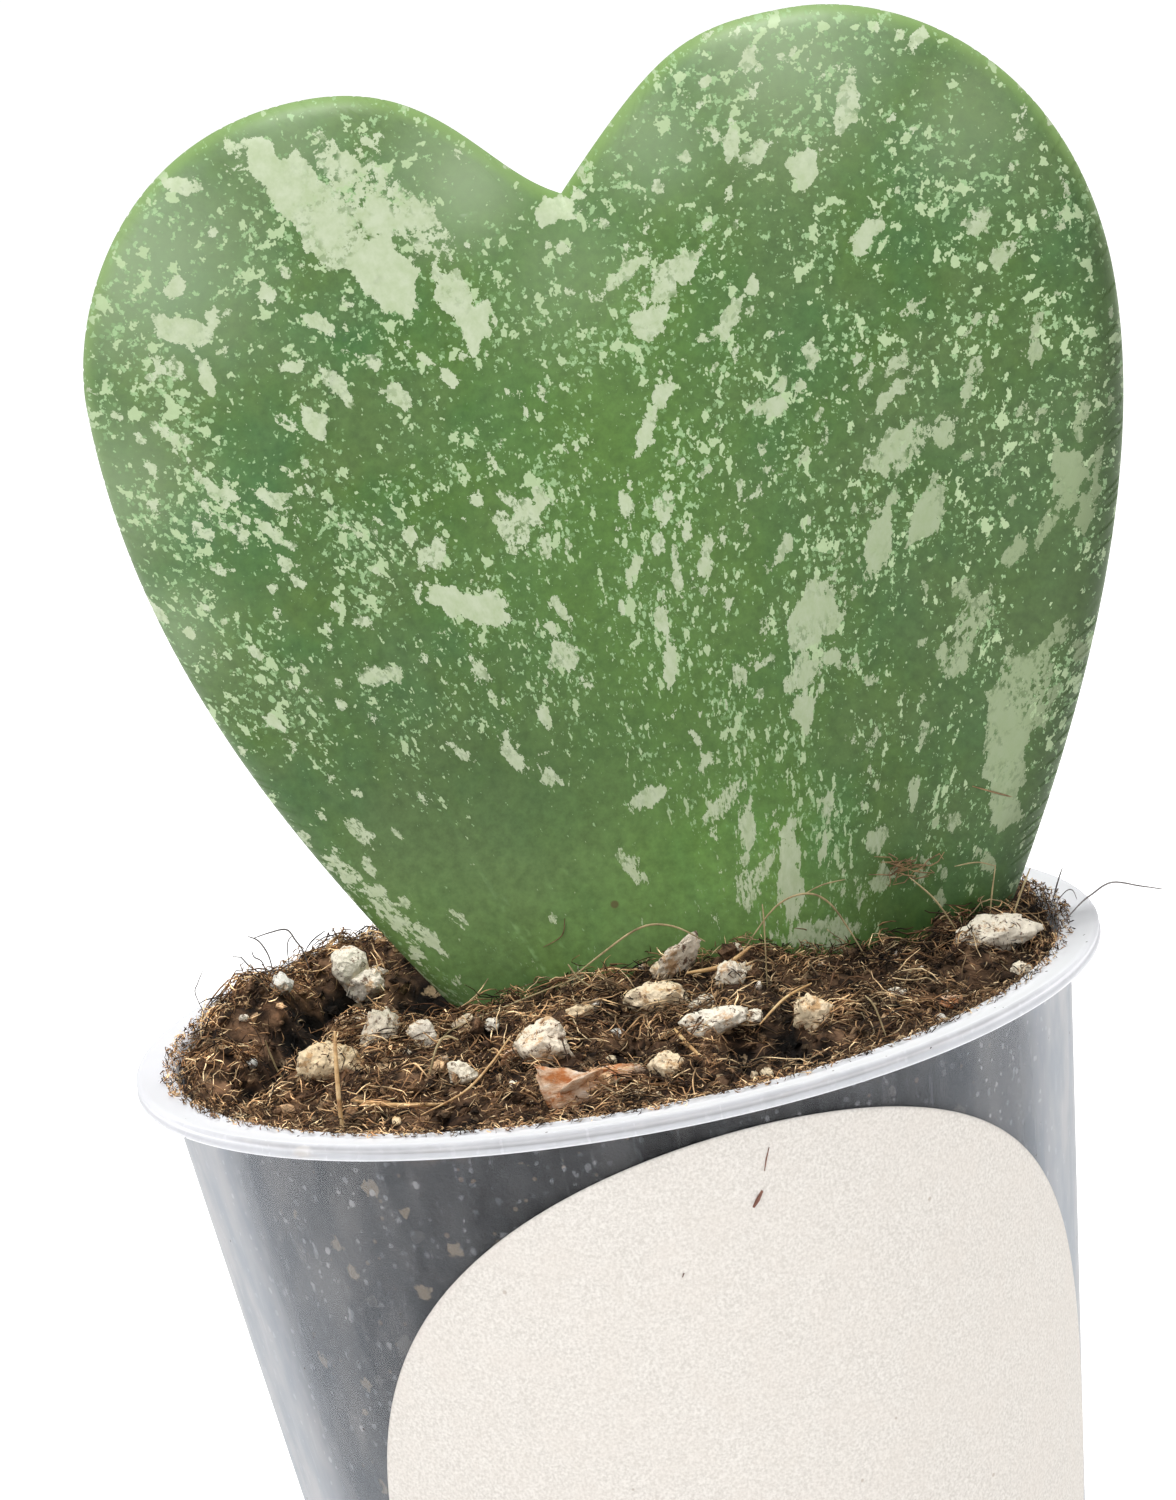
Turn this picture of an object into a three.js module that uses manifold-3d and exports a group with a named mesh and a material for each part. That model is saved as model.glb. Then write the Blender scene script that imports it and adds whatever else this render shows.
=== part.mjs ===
import * as THREE from "three";
import { mergeVertices } from "three/addons/utils/BufferGeometryUtils.js";
import Module from "manifold-3d";

const wasm = await Module();
wasm.setup();

// A potted sweetheart hoya: one thick heart-shaped leaf, rooted in a small frosted nursery pot.
// Millimetres, +Z up. The origin is the middle of the pot's underside, and the front faces -Y.

// Pot
const POT_HEIGHT = 65;
const WALL_TOP_RADIUS = 32;
const WALL_FOOT_RADIUS = 23.8;
const WALL_THICKNESS = 0.8;
const FLOOR_THICKNESS = 1;
const RIM_RADIUS = 34;
const RIM_HEIGHT = 1.4;
const RIM_ROUNDING = 0.3;
const FOOT_ROUNDING = 0.5;
const POT_SIDES = 72;
const DRAIN_HOLES = 8;
const DRAIN_HOLE_RADIUS = 1.9;
const DRAIN_RING_RADIUS = 15;

// Sticker, measured flat
const STICKER_RADIUS = 30.2;
const STICKER_HEIGHT = 32.4;
const STICKER_TURN = THREE.MathUtils.degToRad(13.6);
const STICKER_THICKNESS = 0.3;
const STICKER_SIDES = 54;
const STICKER_RINGS = 5;

// Neighbouring pieces keep this gap
const GAP = 0.3;

// Leaf: where its blade comes to a point under the soil, and the middle of its mesh on the midrib
const LEAF_FOOT = new THREE.Vector3(8.4, 0, 36);
const BLADE_MIDDLE = new THREE.Vector2(-2.3, 64);
const NOTCH = new THREE.Vector2(-2.7, 84.2);
const EDGE_RADIUS = 1.7;
const BELLY = 0.4;
const BELLY_REACH = 9;
const CURL = 1.6;
const CURL_REACH = 11;
const GROOVE = 0.9;
const GROOVE_REACH = 4.5;

// Leaf stalk and roots
const STALK_RADIUS = 2;
const STALK_TOP = 46;
const STALK_END = 23;
const ROOTS = 5;
const ROOT_RADIUS = 0.6;
const ROOT_END = 9;
const ROOT_SPREAD = 3;
const ROOT_HOLE_RADIUS = 4.4;
const ROOT_HOLE_FOOT = 8;
const ROOT_HOLE_TOP = 40;
const STALK_FOOT = new THREE.Vector2(9, 0.4);
const LEAF_CLEARANCE = 0.35;

// Soil: its height at the pot wall, how much higher its middle is, and how deep the grains are sunk in it
const SOIL_EDGE_HEIGHT = 63.8;
const SOIL_MOUND = 2.2;
const SOIL_SIDES = 84;
const SOIL_RINGS = 17;
const SOIL_WALL_RINGS = 4;
const GRAIN_LIFT = 0.17;
const HIDDEN_GRAINS = 16;
const CRUMBS = 190;

const FRONT = -1;
const BACK = 1;

// Numbers from 0 to 1 that come out the same each time.
function seededRandom(seed) {
  let state = seed;
  return () => {
    state = (state + 0x6d2b79f5) | 0;
    let mixed = Math.imul(state ^ (state >>> 15), 1 | state);
    mixed = (mixed + Math.imul(mixed ^ (mixed >>> 7), 61 | mixed)) ^ mixed;
    return ((mixed ^ (mixed >>> 14)) >>> 0) / 4294967296;
  };
}

// A closed geometry as a solid with its faces pointing out.
function toSolid(geometry) {
  const bare = geometry.clone();
  bare.deleteAttribute("normal");
  bare.deleteAttribute("uv");
  const merged = mergeVertices(bare, 1e-4);
  const corners = [];
  for (let i = 0; i < merged.index.count; i += 3) {
    const [a, b, c] = [0, 1, 2].map((step) => merged.index.getX(i + step));
    if (a !== b && b !== c && c !== a) {
      corners.push(a, b, c);
    }
  }
  const build = (order) =>
    new wasm.Manifold(
      new wasm.Mesh({
        numProp: 3,
        vertProperties: new Float32Array(merged.attributes.position.array),
        triVerts: new Uint32Array(order),
      })
    );
  const solid = build(corners);
  return solid.volume() > 0 ? solid : build(corners.reverse());
}

// A solid as a mesh, without any loose scrap that a cut has left.
function toMesh(name, solid, material) {
  const largest = solid.decompose().sort((a, b) => b.volume() - a.volume())[0];
  const { vertProperties, triVerts } = largest.getMesh();
  const geometry = new THREE.BufferGeometry();
  geometry.setAttribute("position", new THREE.BufferAttribute(vertProperties, 3));
  geometry.setIndex(new THREE.BufferAttribute(triVerts, 1));
  geometry.computeVertexNormals();
  const mesh = new THREE.Mesh(geometry, material);
  mesh.name = name;
  return mesh;
}

// A flat closed form with a front and a back, made from a ball: place(column, ring, side) gives each point,
// with ring 0 in the middle and the last ring at the edge.
function pillow(columns, rings, place) {
  const ball = new THREE.SphereGeometry(1, columns, 2 * rings + 1);
  const points = ball.attributes.position;
  for (let i = 0; i < points.count; i += 1) {
    const row = Math.floor(i / (columns + 1));
    const column = i % (columns + 1) % columns;
    const side = row <= rings ? FRONT : BACK;
    const ring = side === FRONT ? row : 2 * rings + 1 - row;
    const point = place(column, ring, side);
    points.setXYZ(i, point.x, point.y, point.z);
  }
  return toSolid(ball);
}

// A round body turned about the Z axis from [radius, height] pairs.
function turned(profile, sides) {
  const points = profile.map(([radius, height]) => new THREE.Vector2(radius, height));
  return new THREE.LatheGeometry(points, sides).rotateX(Math.PI / 2);
}

const WALL_SLOPE = (WALL_TOP_RADIUS - WALL_FOOT_RADIUS) / POT_HEIGHT;
const WALL_ANGLE = Math.atan(WALL_SLOPE);
const wallRadius = (height) => WALL_FOOT_RADIUS + WALL_SLOPE * height;

function makePot() {
  const rimFoot = POT_HEIGHT - RIM_HEIGHT;
  const inner = (height) => wallRadius(height) - WALL_THICKNESS;
  const body = toSolid(
    turned(
      [
        [0, 0],
        [WALL_FOOT_RADIUS - FOOT_ROUNDING, 0],
        [wallRadius(FOOT_ROUNDING), FOOT_ROUNDING],
        [wallRadius(rimFoot - RIM_HEIGHT), rimFoot - RIM_HEIGHT],
        [wallRadius(rimFoot) + RIM_ROUNDING, rimFoot],
        [RIM_RADIUS - RIM_ROUNDING, rimFoot],
        [RIM_RADIUS, rimFoot + RIM_ROUNDING],
        [RIM_RADIUS, POT_HEIGHT - RIM_ROUNDING],
        [RIM_RADIUS - RIM_ROUNDING, POT_HEIGHT],
        [inner(POT_HEIGHT) + RIM_ROUNDING, POT_HEIGHT],
        [inner(POT_HEIGHT - RIM_ROUNDING), POT_HEIGHT - RIM_ROUNDING],
        [inner(FLOOR_THICKNESS + FOOT_ROUNDING), FLOOR_THICKNESS + FOOT_ROUNDING],
        [inner(FLOOR_THICKNESS) - FOOT_ROUNDING, FLOOR_THICKNESS],
        [0, FLOOR_THICKNESS],
      ],
      POT_SIDES
    )
  );
  const drill = new THREE.CylinderGeometry(DRAIN_HOLE_RADIUS, DRAIN_HOLE_RADIUS, 4 * FLOOR_THICKNESS, 12);
  drill.rotateX(Math.PI / 2);
  drill.translate(DRAIN_RING_RADIUS, 0, 0);
  let pot = body;
  for (let hole = 0; hole < DRAIN_HOLES; hole += 1) {
    pot = pot.subtract(toSolid(drill));
    drill.rotateZ((2 * Math.PI) / DRAIN_HOLES);
  }
  return pot;
}

// A point of the unrolled wall, across and up the slope from the sticker's middle, on the wall itself.
function onWall(across, up, standoff) {
  const middleRadius = wallRadius(STICKER_HEIGHT);
  const fromApex = middleRadius / Math.sin(WALL_ANGLE) + up;
  const turn = Math.atan2(across, fromApex) / Math.sin(WALL_ANGLE) + STICKER_TURN;
  const wall = Math.hypot(across, fromApex) * Math.sin(WALL_ANGLE);
  const height = (wall - WALL_FOOT_RADIUS) / WALL_SLOPE - standoff * Math.sin(WALL_ANGLE);
  const radius = wall + standoff * Math.cos(WALL_ANGLE);
  return new THREE.Vector3(radius * Math.sin(turn), -radius * Math.cos(turn), height);
}

function makeSticker() {
  return pillow(STICKER_SIDES, STICKER_RINGS, (column, ring, side) => {
    const angle = (2 * Math.PI * column) / STICKER_SIDES;
    const reach = (STICKER_RADIUS * ring) / STICKER_RINGS;
    const standoff = side === FRONT ? GAP + STICKER_THICKNESS : GAP;
    return onWall(reach * Math.cos(angle), reach * Math.sin(angle), standoff);
  });
}

// The blade's outline in its own plane, measured from its foot: up the left side, over the left lobe into the
// notch, over the right lobe and down the right side.
function bladeOutline() {
  const left = new THREE.Vector2(-37, 75.5);
  const leftTop = new THREE.Vector2(-18.5, 93.5);
  const rightTop = new THREE.Vector2(14.5, 94);
  const right = new THREE.Vector2(33.5, 71.5);
  const path = new THREE.Path();
  path.moveTo(0, 0);
  path.bezierCurveTo(-15, 25.5, left.x, left.y - 29, left.x, left.y);
  path.bezierCurveTo(left.x, left.y + 6, leftTop.x - 13.5, leftTop.y, leftTop.x, leftTop.y);
  path.bezierCurveTo(leftTop.x + 9, leftTop.y, -7.5, 86.5, NOTCH.x, NOTCH.y);
  path.bezierCurveTo(5, 92.5, rightTop.x - 7.5, rightTop.y, rightTop.x, rightTop.y);
  path.bezierCurveTo(rightTop.x + 8.5, rightTop.y, right.x, right.y + 15, right.x, right.y);
  path.bezierCurveTo(right.x, right.y - 24, 13, 17.5, 0, 0);
  const steps = [20, 11, 11, 11, 13, 20];
  return path.curves.flatMap((curve, part) => curve.getSpacedPoints(steps[part]).slice(1));
}

// How far a point of the blade lies from its midrib, which runs straight from the foot to the notch.
function fromMidrib(point) {
  return (point.x * NOTCH.y - point.y * NOTCH.x) / NOTCH.length();
}

// How far a point lies from a closed outline.
function fromOutline(point, outline) {
  const nearest = new THREE.Vector3();
  const here = new THREE.Vector3(point.x, point.y, 0);
  const flat = outline.map(({ x, y }) => new THREE.Vector3(x, y, 0));
  const far = flat.map((start, i) => {
    new THREE.Line3(start, flat[(i + 1) % flat.length]).closestPointToPoint(here, true, nearest);
    return nearest.distanceTo(here);
  });
  return Math.min(...far);
}

// The blade, larger by grow all over. Rings near the edge lie at set distances from it and make its round margin.
function makeBlade(grow) {
  const outline = bladeOutline();
  const edgeRings = [0, 0.25, 0.9, 1.7, 4, 8];
  const innerRings = [0.72, 0.5, 0.3, 0.14, 0];
  const rings = edgeRings.length + innerRings.length - 1;
  const spokes = outline.map((point, i) => {
    const before = outline.at(i - 1);
    const after = outline[(i + 1) % outline.length];
    const along = after.clone().sub(before).normalize();
    const out = point.clone().sub(BLADE_MIDDLE);
    const length = out.length();
    const direction = out.divideScalar(length);
    const slant = Math.max(Math.abs(direction.cross(along)), 0.4);
    return { direction, length: length + grow / slant, slant };
  });
  const edge = spokes.map(({ direction, length }) => BLADE_MIDDLE.clone().addScaledVector(direction, length));
  return pillow(spokes.length, rings, (column, ring, side) => {
    const { direction, length, slant } = spokes[column];
    const fromEdge = rings - ring;
    const deepest = Math.min(edgeRings.at(-1) / slant, 0.45 * length);
    const inwards =
      fromEdge < edgeRings.length
        ? (deepest * edgeRings[fromEdge]) / edgeRings.at(-1)
        : length - (length - deepest) * innerRings[fromEdge - edgeRings.length];
    const point = BLADE_MIDDLE.clone().addScaledVector(direction, length - inwards);
    const depth = fromEdge === 0 ? 0 : fromOutline(point, edge);
    const round = Math.max(0, 1 - depth / (EDGE_RADIUS + grow));
    const thick = (EDGE_RADIUS + grow) * Math.sqrt(1 - round * round);
    const belly = BELLY * (1 - Math.exp(-depth / BELLY_REACH));
    const curl = CURL * (Math.max(0, 1 - depth / CURL_REACH) ** 2 - 1);
    const groove = GROOVE * Math.exp(-((fromMidrib(point) / GROOVE_REACH) ** 2));
    const y = curl + groove + side * (thick + belly);
    return new THREE.Vector3(point.x, y, point.y).add(LEAF_FOOT);
  });
}

// A round rod of the given radius along a curve.
function rod(curve, radius, sides, steps) {
  const section = new THREE.Shape(new THREE.EllipseCurve(0, 0, radius, radius).getPoints(sides).slice(0, -1));
  return toSolid(new THREE.ExtrudeGeometry(section, { steps, extrudePath: curve, bevelEnabled: false }));
}

function makeStalk(grow) {
  const top = new THREE.Vector3(LEAF_FOOT.x - 0.3, -0.8, STALK_TOP);
  const middle = new THREE.Vector3(LEAF_FOOT.x, 0, LEAF_FOOT.z - 3);
  const end = new THREE.Vector3(STALK_FOOT.x, STALK_FOOT.y, STALK_END - grow);
  return rod(new THREE.CatmullRomCurve3([top, middle, end]), STALK_RADIUS + grow, 12, 6);
}

function makeLeaf() {
  const random = seededRandom(7);
  let leaf = makeBlade(0).add(makeStalk(0));
  for (let root = 0; root < ROOTS; root += 1) {
    const turn = (2 * Math.PI * (root + 0.5 * random())) / ROOTS;
    const end = ROOT_END + 7 * random();
    const at = (reach, height) =>
      new THREE.Vector3(STALK_FOOT.x + reach * Math.cos(turn), STALK_FOOT.y + reach * Math.sin(turn), height);
    const line = [at(0, STALK_END + 3), at(0.6 * ROOT_SPREAD, STALK_END - 2), at(ROOT_SPREAD, end)];
    leaf = leaf.add(rod(new THREE.CatmullRomCurve3(line), ROOT_RADIUS, 6, 6));
  }
  return leaf;
}

// The room that the leaf takes up in the soil: its own form a little larger, over a plain round hole for roots.
function makeLeafHole() {
  const depth = ROOT_HOLE_TOP - ROOT_HOLE_FOOT;
  const hole = new THREE.CylinderGeometry(ROOT_HOLE_RADIUS, ROOT_HOLE_RADIUS, depth, 14);
  hole.rotateX(Math.PI / 2);
  hole.translate(STALK_FOOT.x, STALK_FOOT.y, ROOT_HOLE_FOOT + depth / 2);
  return makeBlade(LEAF_CLEARANCE).add(makeStalk(LEAF_CLEARANCE)).add(toSolid(hole));
}

// Hollows between the clods, and clods that stand up, each with its place, reach and height.
const HOLLOWS = [
  { x: -12.5, y: 6, reach: 3, height: -5 },
  { x: -25, y: -7.5, reach: 2.6, height: -3 },
  { x: -22, y: 3, reach: 2.4, height: -2.5 },
  { x: 25.5, y: -15, reach: 2.2, height: -2.5 },
  { x: 8.5, y: -24, reach: 3, height: -2 },
  { x: -12, y: -27, reach: 2, height: -1.8 },
  { x: 16, y: -12, reach: 2.4, height: -1.6 },
];
const CLODS = [
  { x: -24, y: 11, reach: 6.5, height: 2 },
  { x: -8, y: 21, reach: 7, height: 1.6 },
  { x: -19, y: -12, reach: 4.5, height: 1.2 },
  { x: -2, y: -12, reach: 5, height: 0.9 },
  { x: 21, y: -4, reach: 5, height: 0.9 },
  { x: 15, y: 17, reach: 6, height: 1.2 },
];

// Small crumbs and pits all over the soil.
function crumbs() {
  const random = seededRandom(21);
  return Array.from({ length: CRUMBS }, () => {
    const turn = 2 * Math.PI * random();
    const away = 30 * Math.sqrt(random());
    const place = { x: away * Math.cos(turn), y: away * Math.sin(turn) };
    return { ...place, reach: 1.5 + 1.2 * random(), height: 2.4 * random() - 1.1 };
  });
}

const SOIL_FORMS = [...HOLLOWS, ...CLODS, ...crumbs()];
const soilRadius = (height) => wallRadius(height) - (WALL_THICKNESS + GAP) / Math.cos(WALL_ANGLE);

// The height of the soil at a place on it. Clods and hollows fade towards the pot wall.
function soilTop(x, y) {
  const away = Math.hypot(x, y) / soilRadius(SOIL_EDGE_HEIGHT);
  const mound = SOIL_EDGE_HEIGHT + SOIL_MOUND * (1 - away ** 3);
  const fade = Math.min(1, 4 * (1 - Math.min(1, away)) + 0.25);
  const form = SOIL_FORMS.reduce((sum, { x: cx, y: cy, reach, height }) => {
    const far = ((x - cx) ** 2 + (y - cy) ** 2) / reach ** 2;
    return far > 9 ? sum : sum + height * Math.exp(-far);
  }, 0);
  return mound + fade * form;
}

function makeSoilBody() {
  const foot = FLOOR_THICKNESS + GAP;
  const profile = [[0, foot]];
  for (let step = 0; step <= SOIL_WALL_RINGS; step += 1) {
    const height = foot + ((SOIL_EDGE_HEIGHT - foot) * step) / SOIL_WALL_RINGS;
    profile.push([soilRadius(height) - (step === 0 ? FOOT_ROUNDING : 0), height]);
  }
  for (let ring = SOIL_RINGS - 1; ring >= 0; ring -= 1) {
    profile.push([(soilRadius(SOIL_EDGE_HEIGHT) * ring) / SOIL_RINGS, SOIL_EDGE_HEIGHT + 1]);
  }
  const body = turned(profile, SOIL_SIDES);
  const points = body.attributes.position;
  for (let i = 0; i < points.count; i += 1) {
    if (points.getZ(i) > SOIL_EDGE_HEIGHT) {
      points.setZ(i, soilTop(points.getX(i), points.getY(i)));
    }
  }
  return toSolid(body);
}

// Grains and chips that show on the soil: place, length, width, height and how they are turned.
// Long flat ones are bark, and round ones are perlite.
const GRAINS = [
  { x: -18, y: 15.5, size: [2.9, 2.6, 2.4], turn: 0 },
  { x: -18, y: 6.5, size: [3.1, 2, 1.8], turn: 0.2 },
  { x: -16.5, y: -5, size: [2.1, 2.2, 2.5], turn: 0.4 },
  { x: -13, y: -8, size: [2.1, 2, 2], turn: 1 },
  { x: -20, y: -9, size: [3.8, 2.8, 2.6], turn: 0.3 },
  { x: -11.5, y: -17.5, size: [1.7, 1.5, 1.5], turn: 0 },
  { x: -6, y: -14.5, size: [4.2, 3.4, 3], turn: -0.3 },
  { x: 2.5, y: -25, size: [1.7, 1.5, 1.5], turn: 0 },
  { x: 3, y: -9, size: [3.8, 2.6, 2.2], turn: 0.1 },
  { x: 6.5, y: -15.5, size: [4.1, 3, 2.4], turn: 0.5 },
  { x: -2.5, y: -8, size: [2.1, 1.8, 1.8], turn: 0.8 },
  { x: 4.5, y: -5.6, size: [1.6, 1.8, 3.6], turn: 0.2 },
  { x: 27, y: -7, size: [5.5, 2.6, 2.2], turn: 0.1 },
  { x: 13, y: -18, size: [2.7, 2.4, 2.2], turn: 0 },
  { x: 21.5, y: -21, size: [2.1, 1.8, 1.6], turn: 0.6 },
  { x: -5, y: -27.5, size: [4.5, 3.4, 1.6], turn: 0.9 },
  { x: -8, y: -10, size: [2.4, 1.8, 1.4], turn: 2 },
];

// More grains where the soil is out of sight from the front, placed at random.
function hiddenGrains() {
  const random = seededRandom(33);
  return Array.from({ length: HIDDEN_GRAINS }, () => {
    const turn = Math.PI * (0.05 + 0.9 * random());
    const away = 6 + 21 * Math.sqrt(random());
    const across = 2 + 2.6 * random();
    return {
      x: away * Math.cos(turn),
      y: 5 + 0.8 * away * Math.sin(turn),
      size: [across, across * (0.6 + 0.3 * random()), across * (0.55 + 0.3 * random())],
      turn: Math.PI * random(),
    };
  });
}

// One rough grain, sunk partly into the soil.
function makeGrain({ x, y, size, turn }, random) {
  const detail = size[0] > 2.5 ? 1 : 0;
  const ball = new THREE.IcosahedronGeometry(0.5, detail);
  ball.deleteAttribute("normal");
  ball.deleteAttribute("uv");
  const lump = mergeVertices(ball, 1e-3);
  const points = lump.attributes.position;
  for (let i = 0; i < points.count; i += 1) {
    const swell = 0.86 + 0.28 * random();
    points.setXYZ(i, points.getX(i) * swell, points.getY(i) * swell, points.getZ(i) * swell);
  }
  lump.scale(...size);
  lump.rotateX(0.5 * (random() - 0.5));
  lump.rotateZ(turn);
  lump.translate(x, y, soilTop(x, y) + GRAIN_LIFT * size[2]);
  return toSolid(lump);
}

function makeSoil() {
  const random = seededRandom(5);
  const grains = [...GRAINS, ...hiddenGrains()];
  const mix = grains.reduce((soil, grain) => soil.add(makeGrain(grain, random)), makeSoilBody());
  return mix.subtract(makeLeafHole());
}

const frostedPlastic = new THREE.MeshStandardMaterial({ color: 0xb9bcc0, roughness: 0.35, metalness: 0 });
const paper = new THREE.MeshStandardMaterial({ color: 0xf1eee8, roughness: 0.85, metalness: 0 });
const pottingMix = new THREE.MeshStandardMaterial({ color: 0x4a3526, roughness: 0.95, metalness: 0 });
const leafGreen = new THREE.MeshStandardMaterial({ color: 0x4c7a3a, roughness: 0.45, metalness: 0 });

const plant = new THREE.Group();
plant.add(toMesh("pot", makePot(), frostedPlastic));
plant.add(toMesh("sticker", makeSticker(), paper));
plant.add(toMesh("soil", makeSoil(), pottingMix));
plant.add(toMesh("leaf", makeLeaf(), leafGreen));

export default plant;
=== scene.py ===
# %% [markdown]
# # A potted sweetheart hoya
#
# This notebook dresses a small house plant: one thick heart-shaped leaf, rooted in a frosted nursery pot of loose
# potting mix, with a blank paper sticker on the front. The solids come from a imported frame, which gives the sizes.
# Blender gives each of them its real surface. The leaf gets its silvery splashes, the mix its crumbs, fibres and
# perlite, and the pot its milky plastic. All lengths below are in millimetres until a mesh is finished.

# %% Load the frame
import math

import bmesh
import bpy
import numpy as np
from mathutils import Matrix, Vector
from mathutils.kdtree import KDTree


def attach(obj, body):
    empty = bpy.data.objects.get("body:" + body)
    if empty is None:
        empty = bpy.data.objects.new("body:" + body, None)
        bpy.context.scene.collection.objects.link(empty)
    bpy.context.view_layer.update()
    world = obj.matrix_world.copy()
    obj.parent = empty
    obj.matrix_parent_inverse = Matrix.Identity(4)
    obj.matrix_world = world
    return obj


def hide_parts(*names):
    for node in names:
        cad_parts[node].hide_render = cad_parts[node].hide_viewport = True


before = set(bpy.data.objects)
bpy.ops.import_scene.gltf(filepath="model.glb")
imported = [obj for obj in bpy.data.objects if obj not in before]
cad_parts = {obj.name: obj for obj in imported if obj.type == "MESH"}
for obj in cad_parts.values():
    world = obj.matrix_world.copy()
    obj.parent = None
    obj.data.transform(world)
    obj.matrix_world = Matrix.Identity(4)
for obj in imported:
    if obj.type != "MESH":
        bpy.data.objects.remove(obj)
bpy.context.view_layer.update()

MM = 0.001
scene = bpy.context.scene
print("nodes in the frame:", ", ".join(sorted(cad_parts)))

# %% [markdown]
# Colours are written as the sRGB hex values that a colour picker shows. Cycles works in linear light, so one function
# turns each of them over. Another adds a shader node of any kind to the material at hand, with its settings and its
# links, which keeps the materials below readable as lists of what the surface does. A Math node adds unless it is
# told otherwise. The scale of a pattern is one over its size in metres, and sizes are judged on the real plant.

# %% Colour and node helpers
def colour(code):
    """An sRGB hex colour as linear RGBA."""
    parts = [int(code[i:i + 2], 16) / 255 for i in (1, 3, 5)]
    return (*(p / 12.92 if p <= 0.04045 else ((p + 0.055) / 1.055) ** 2.4 for p in parts), 1.0)


def add(kind, *values, out=None, stops=(), **named):
    """Adds a node to the tree at hand and gives its output called out, or else its first one.

    Values go to the inputs in use, in order. A name that starts with a capital is an input too, and one in small
    letters is a setting. Stops are the colours of a ramp, in even steps."""
    made = tree.nodes.new("ShaderNode" + kind)
    for name, value in named.items():
        if name.islower():
            setattr(made, name, value)
    for at in range(1, len(stops) - 1):
        made.color_ramp.elements.new(at / (len(stops) - 1))
    for at, code in enumerate(stops):
        made.color_ramp.elements[at].color = colour(code)
    given = list(zip([socket for socket in made.inputs if socket.enabled], values))
    given += [(made.inputs[name.replace("_", " ")], value) for name, value in named.items() if not name.islower()]
    for socket, value in given:
        if isinstance(value, bpy.types.NodeSocket):
            tree.links.new(value, socket)
        else:
            socket.default_value = colour(value) if isinstance(value, str) else value
    return made.outputs[out] if out else next((socket for socket in made.outputs if socket.enabled), None)


def new_material(name):
    """Starts a material, whose tree is from now on the tree at hand, and gives it with the Object coordinates."""
    global tree
    made = bpy.data.materials.new(name)
    made.use_nodes = True
    tree = made.node_tree
    tree.nodes.clear()
    return made, add("TexCoord", out="Object")


def flecks(place, size, rarity, radius, axis="X"):
    """Round marks in the rarer cells of a pattern whose cells are size millimetres wide: above 0 inside a mark."""
    near = add("TexVoronoi", place, 1 / (size * MM))
    own = add("SeparateXYZ", near.node.outputs["Color"], out=axis)
    return add("Math", add("MapRange", own, rarity, 1.0, 0.0, radius), near, operation="SUBTRACT")


print("mid green is", [round(c, 3) for c in colour("#628444")[:3]])

# %% [markdown]
# Every finished piece is one object at the origin. It rides on the frame's single body, takes one material, and may
# stand for a solid of the frame, which it hides. Meshes are worked out in millimetres and scaled once.

# %% Finished pieces
def linked(name, data):
    """Puts data into the scene as an object."""
    made = bpy.data.objects.new(name, data)
    scene.collection.objects.link(made)
    return made


def keep(name, mesh, material, replaced=(), smooth=True):
    """Turns a mesh in millimetres into a finished piece of the plant."""
    mesh.transform(Matrix.Scale(MM, 4))
    mesh.materials.append(material)
    mesh.polygons.foreach_set("use_smooth", np.full(len(mesh.polygons), smooth))
    piece = linked(name, mesh)
    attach(piece, "root")
    if replaced:
        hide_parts(*replaced)
    mesh.calc_loop_triangles()
    print(f"{name}: {len(mesh.loop_triangles)} triangles")


def mesh_from(bm, name):
    """Ends a bmesh as a mesh."""
    mesh = bpy.data.meshes.new(name)
    bm.to_mesh(mesh)
    bm.free()
    return mesh


def evaluated(thing, *helpers):
    """The mesh that an object's modifiers or bevel make of it. The object and its helpers are then removed."""
    bpy.context.view_layer.update()
    mesh = bpy.data.meshes.new_from_object(thing.evaluated_get(bpy.context.evaluated_depsgraph_get()))
    for used in (thing, *helpers):
        bpy.data.objects.remove(used)
    return mesh


def points_of(mesh):
    """The places of a mesh's vertices as rows of x, y, z."""
    flat = np.empty(3 * len(mesh.vertices))
    mesh.vertices.foreach_get("co", flat)
    return flat.reshape(-1, 3)


def move_points(mesh, places):
    """Puts a mesh's vertices at new places."""
    mesh.vertices.foreach_set("co", np.asarray(places, dtype=np.float32).ravel())
    mesh.update()


def store(mesh, name, values):
    """Keeps one number for each vertex, for a material to read."""
    mesh.attributes.new(name, "FLOAT", "POINT").data.foreach_set("value", np.asarray(values, dtype=np.float32))

# %% [markdown]
# The camera stands where the photographer's did: a long lens, 37 cm away, looking down by 12 degrees. It was held
# 10 degrees askew, so the pot leans in the picture. The light is that of a white studio: an even white world, one big
# soft box high on the left, a weaker one on the right and one overhead that draws the leaf's upper edge.

# %% Camera
CAMERA_PLACE = Vector((0, -371.5, 161.7)) * MM
CAMERA_VIEW = Vector((0.0026, 0.9778, -0.2097))
CAMERA_ROLL = math.radians(-9.92)
LENS = 131.9

camera_data = bpy.data.cameras.new("camera")
camera_data.lens = LENS
camera_data.sensor_width = 36
camera_data.clip_start = 0.01
camera = linked("camera", camera_data)
turn = CAMERA_VIEW.to_track_quat("-Z", "Y").to_matrix().to_4x4() @ Matrix.Rotation(CAMERA_ROLL, 4, "Z")
camera.matrix_world = Matrix.Translation(CAMERA_PLACE) @ turn
scene.camera = camera
scene.view_settings.view_transform = "Standard"
print("camera at", [round(c, 3) for c in CAMERA_PLACE])

# %% Light
AIM = Vector((0, 0, 0.08))


def soft_box(name, place, size, power):
    """A square area light that points at the plant."""
    lamp = bpy.data.lights.new(name, "AREA")
    lamp.size = size
    lamp.energy = power
    way = AIM - Vector(place)
    turn = way.to_track_quat("-Z", "Y").to_matrix().to_4x4()
    linked(name, lamp).matrix_world = Matrix.Translation(place) @ turn


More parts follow.
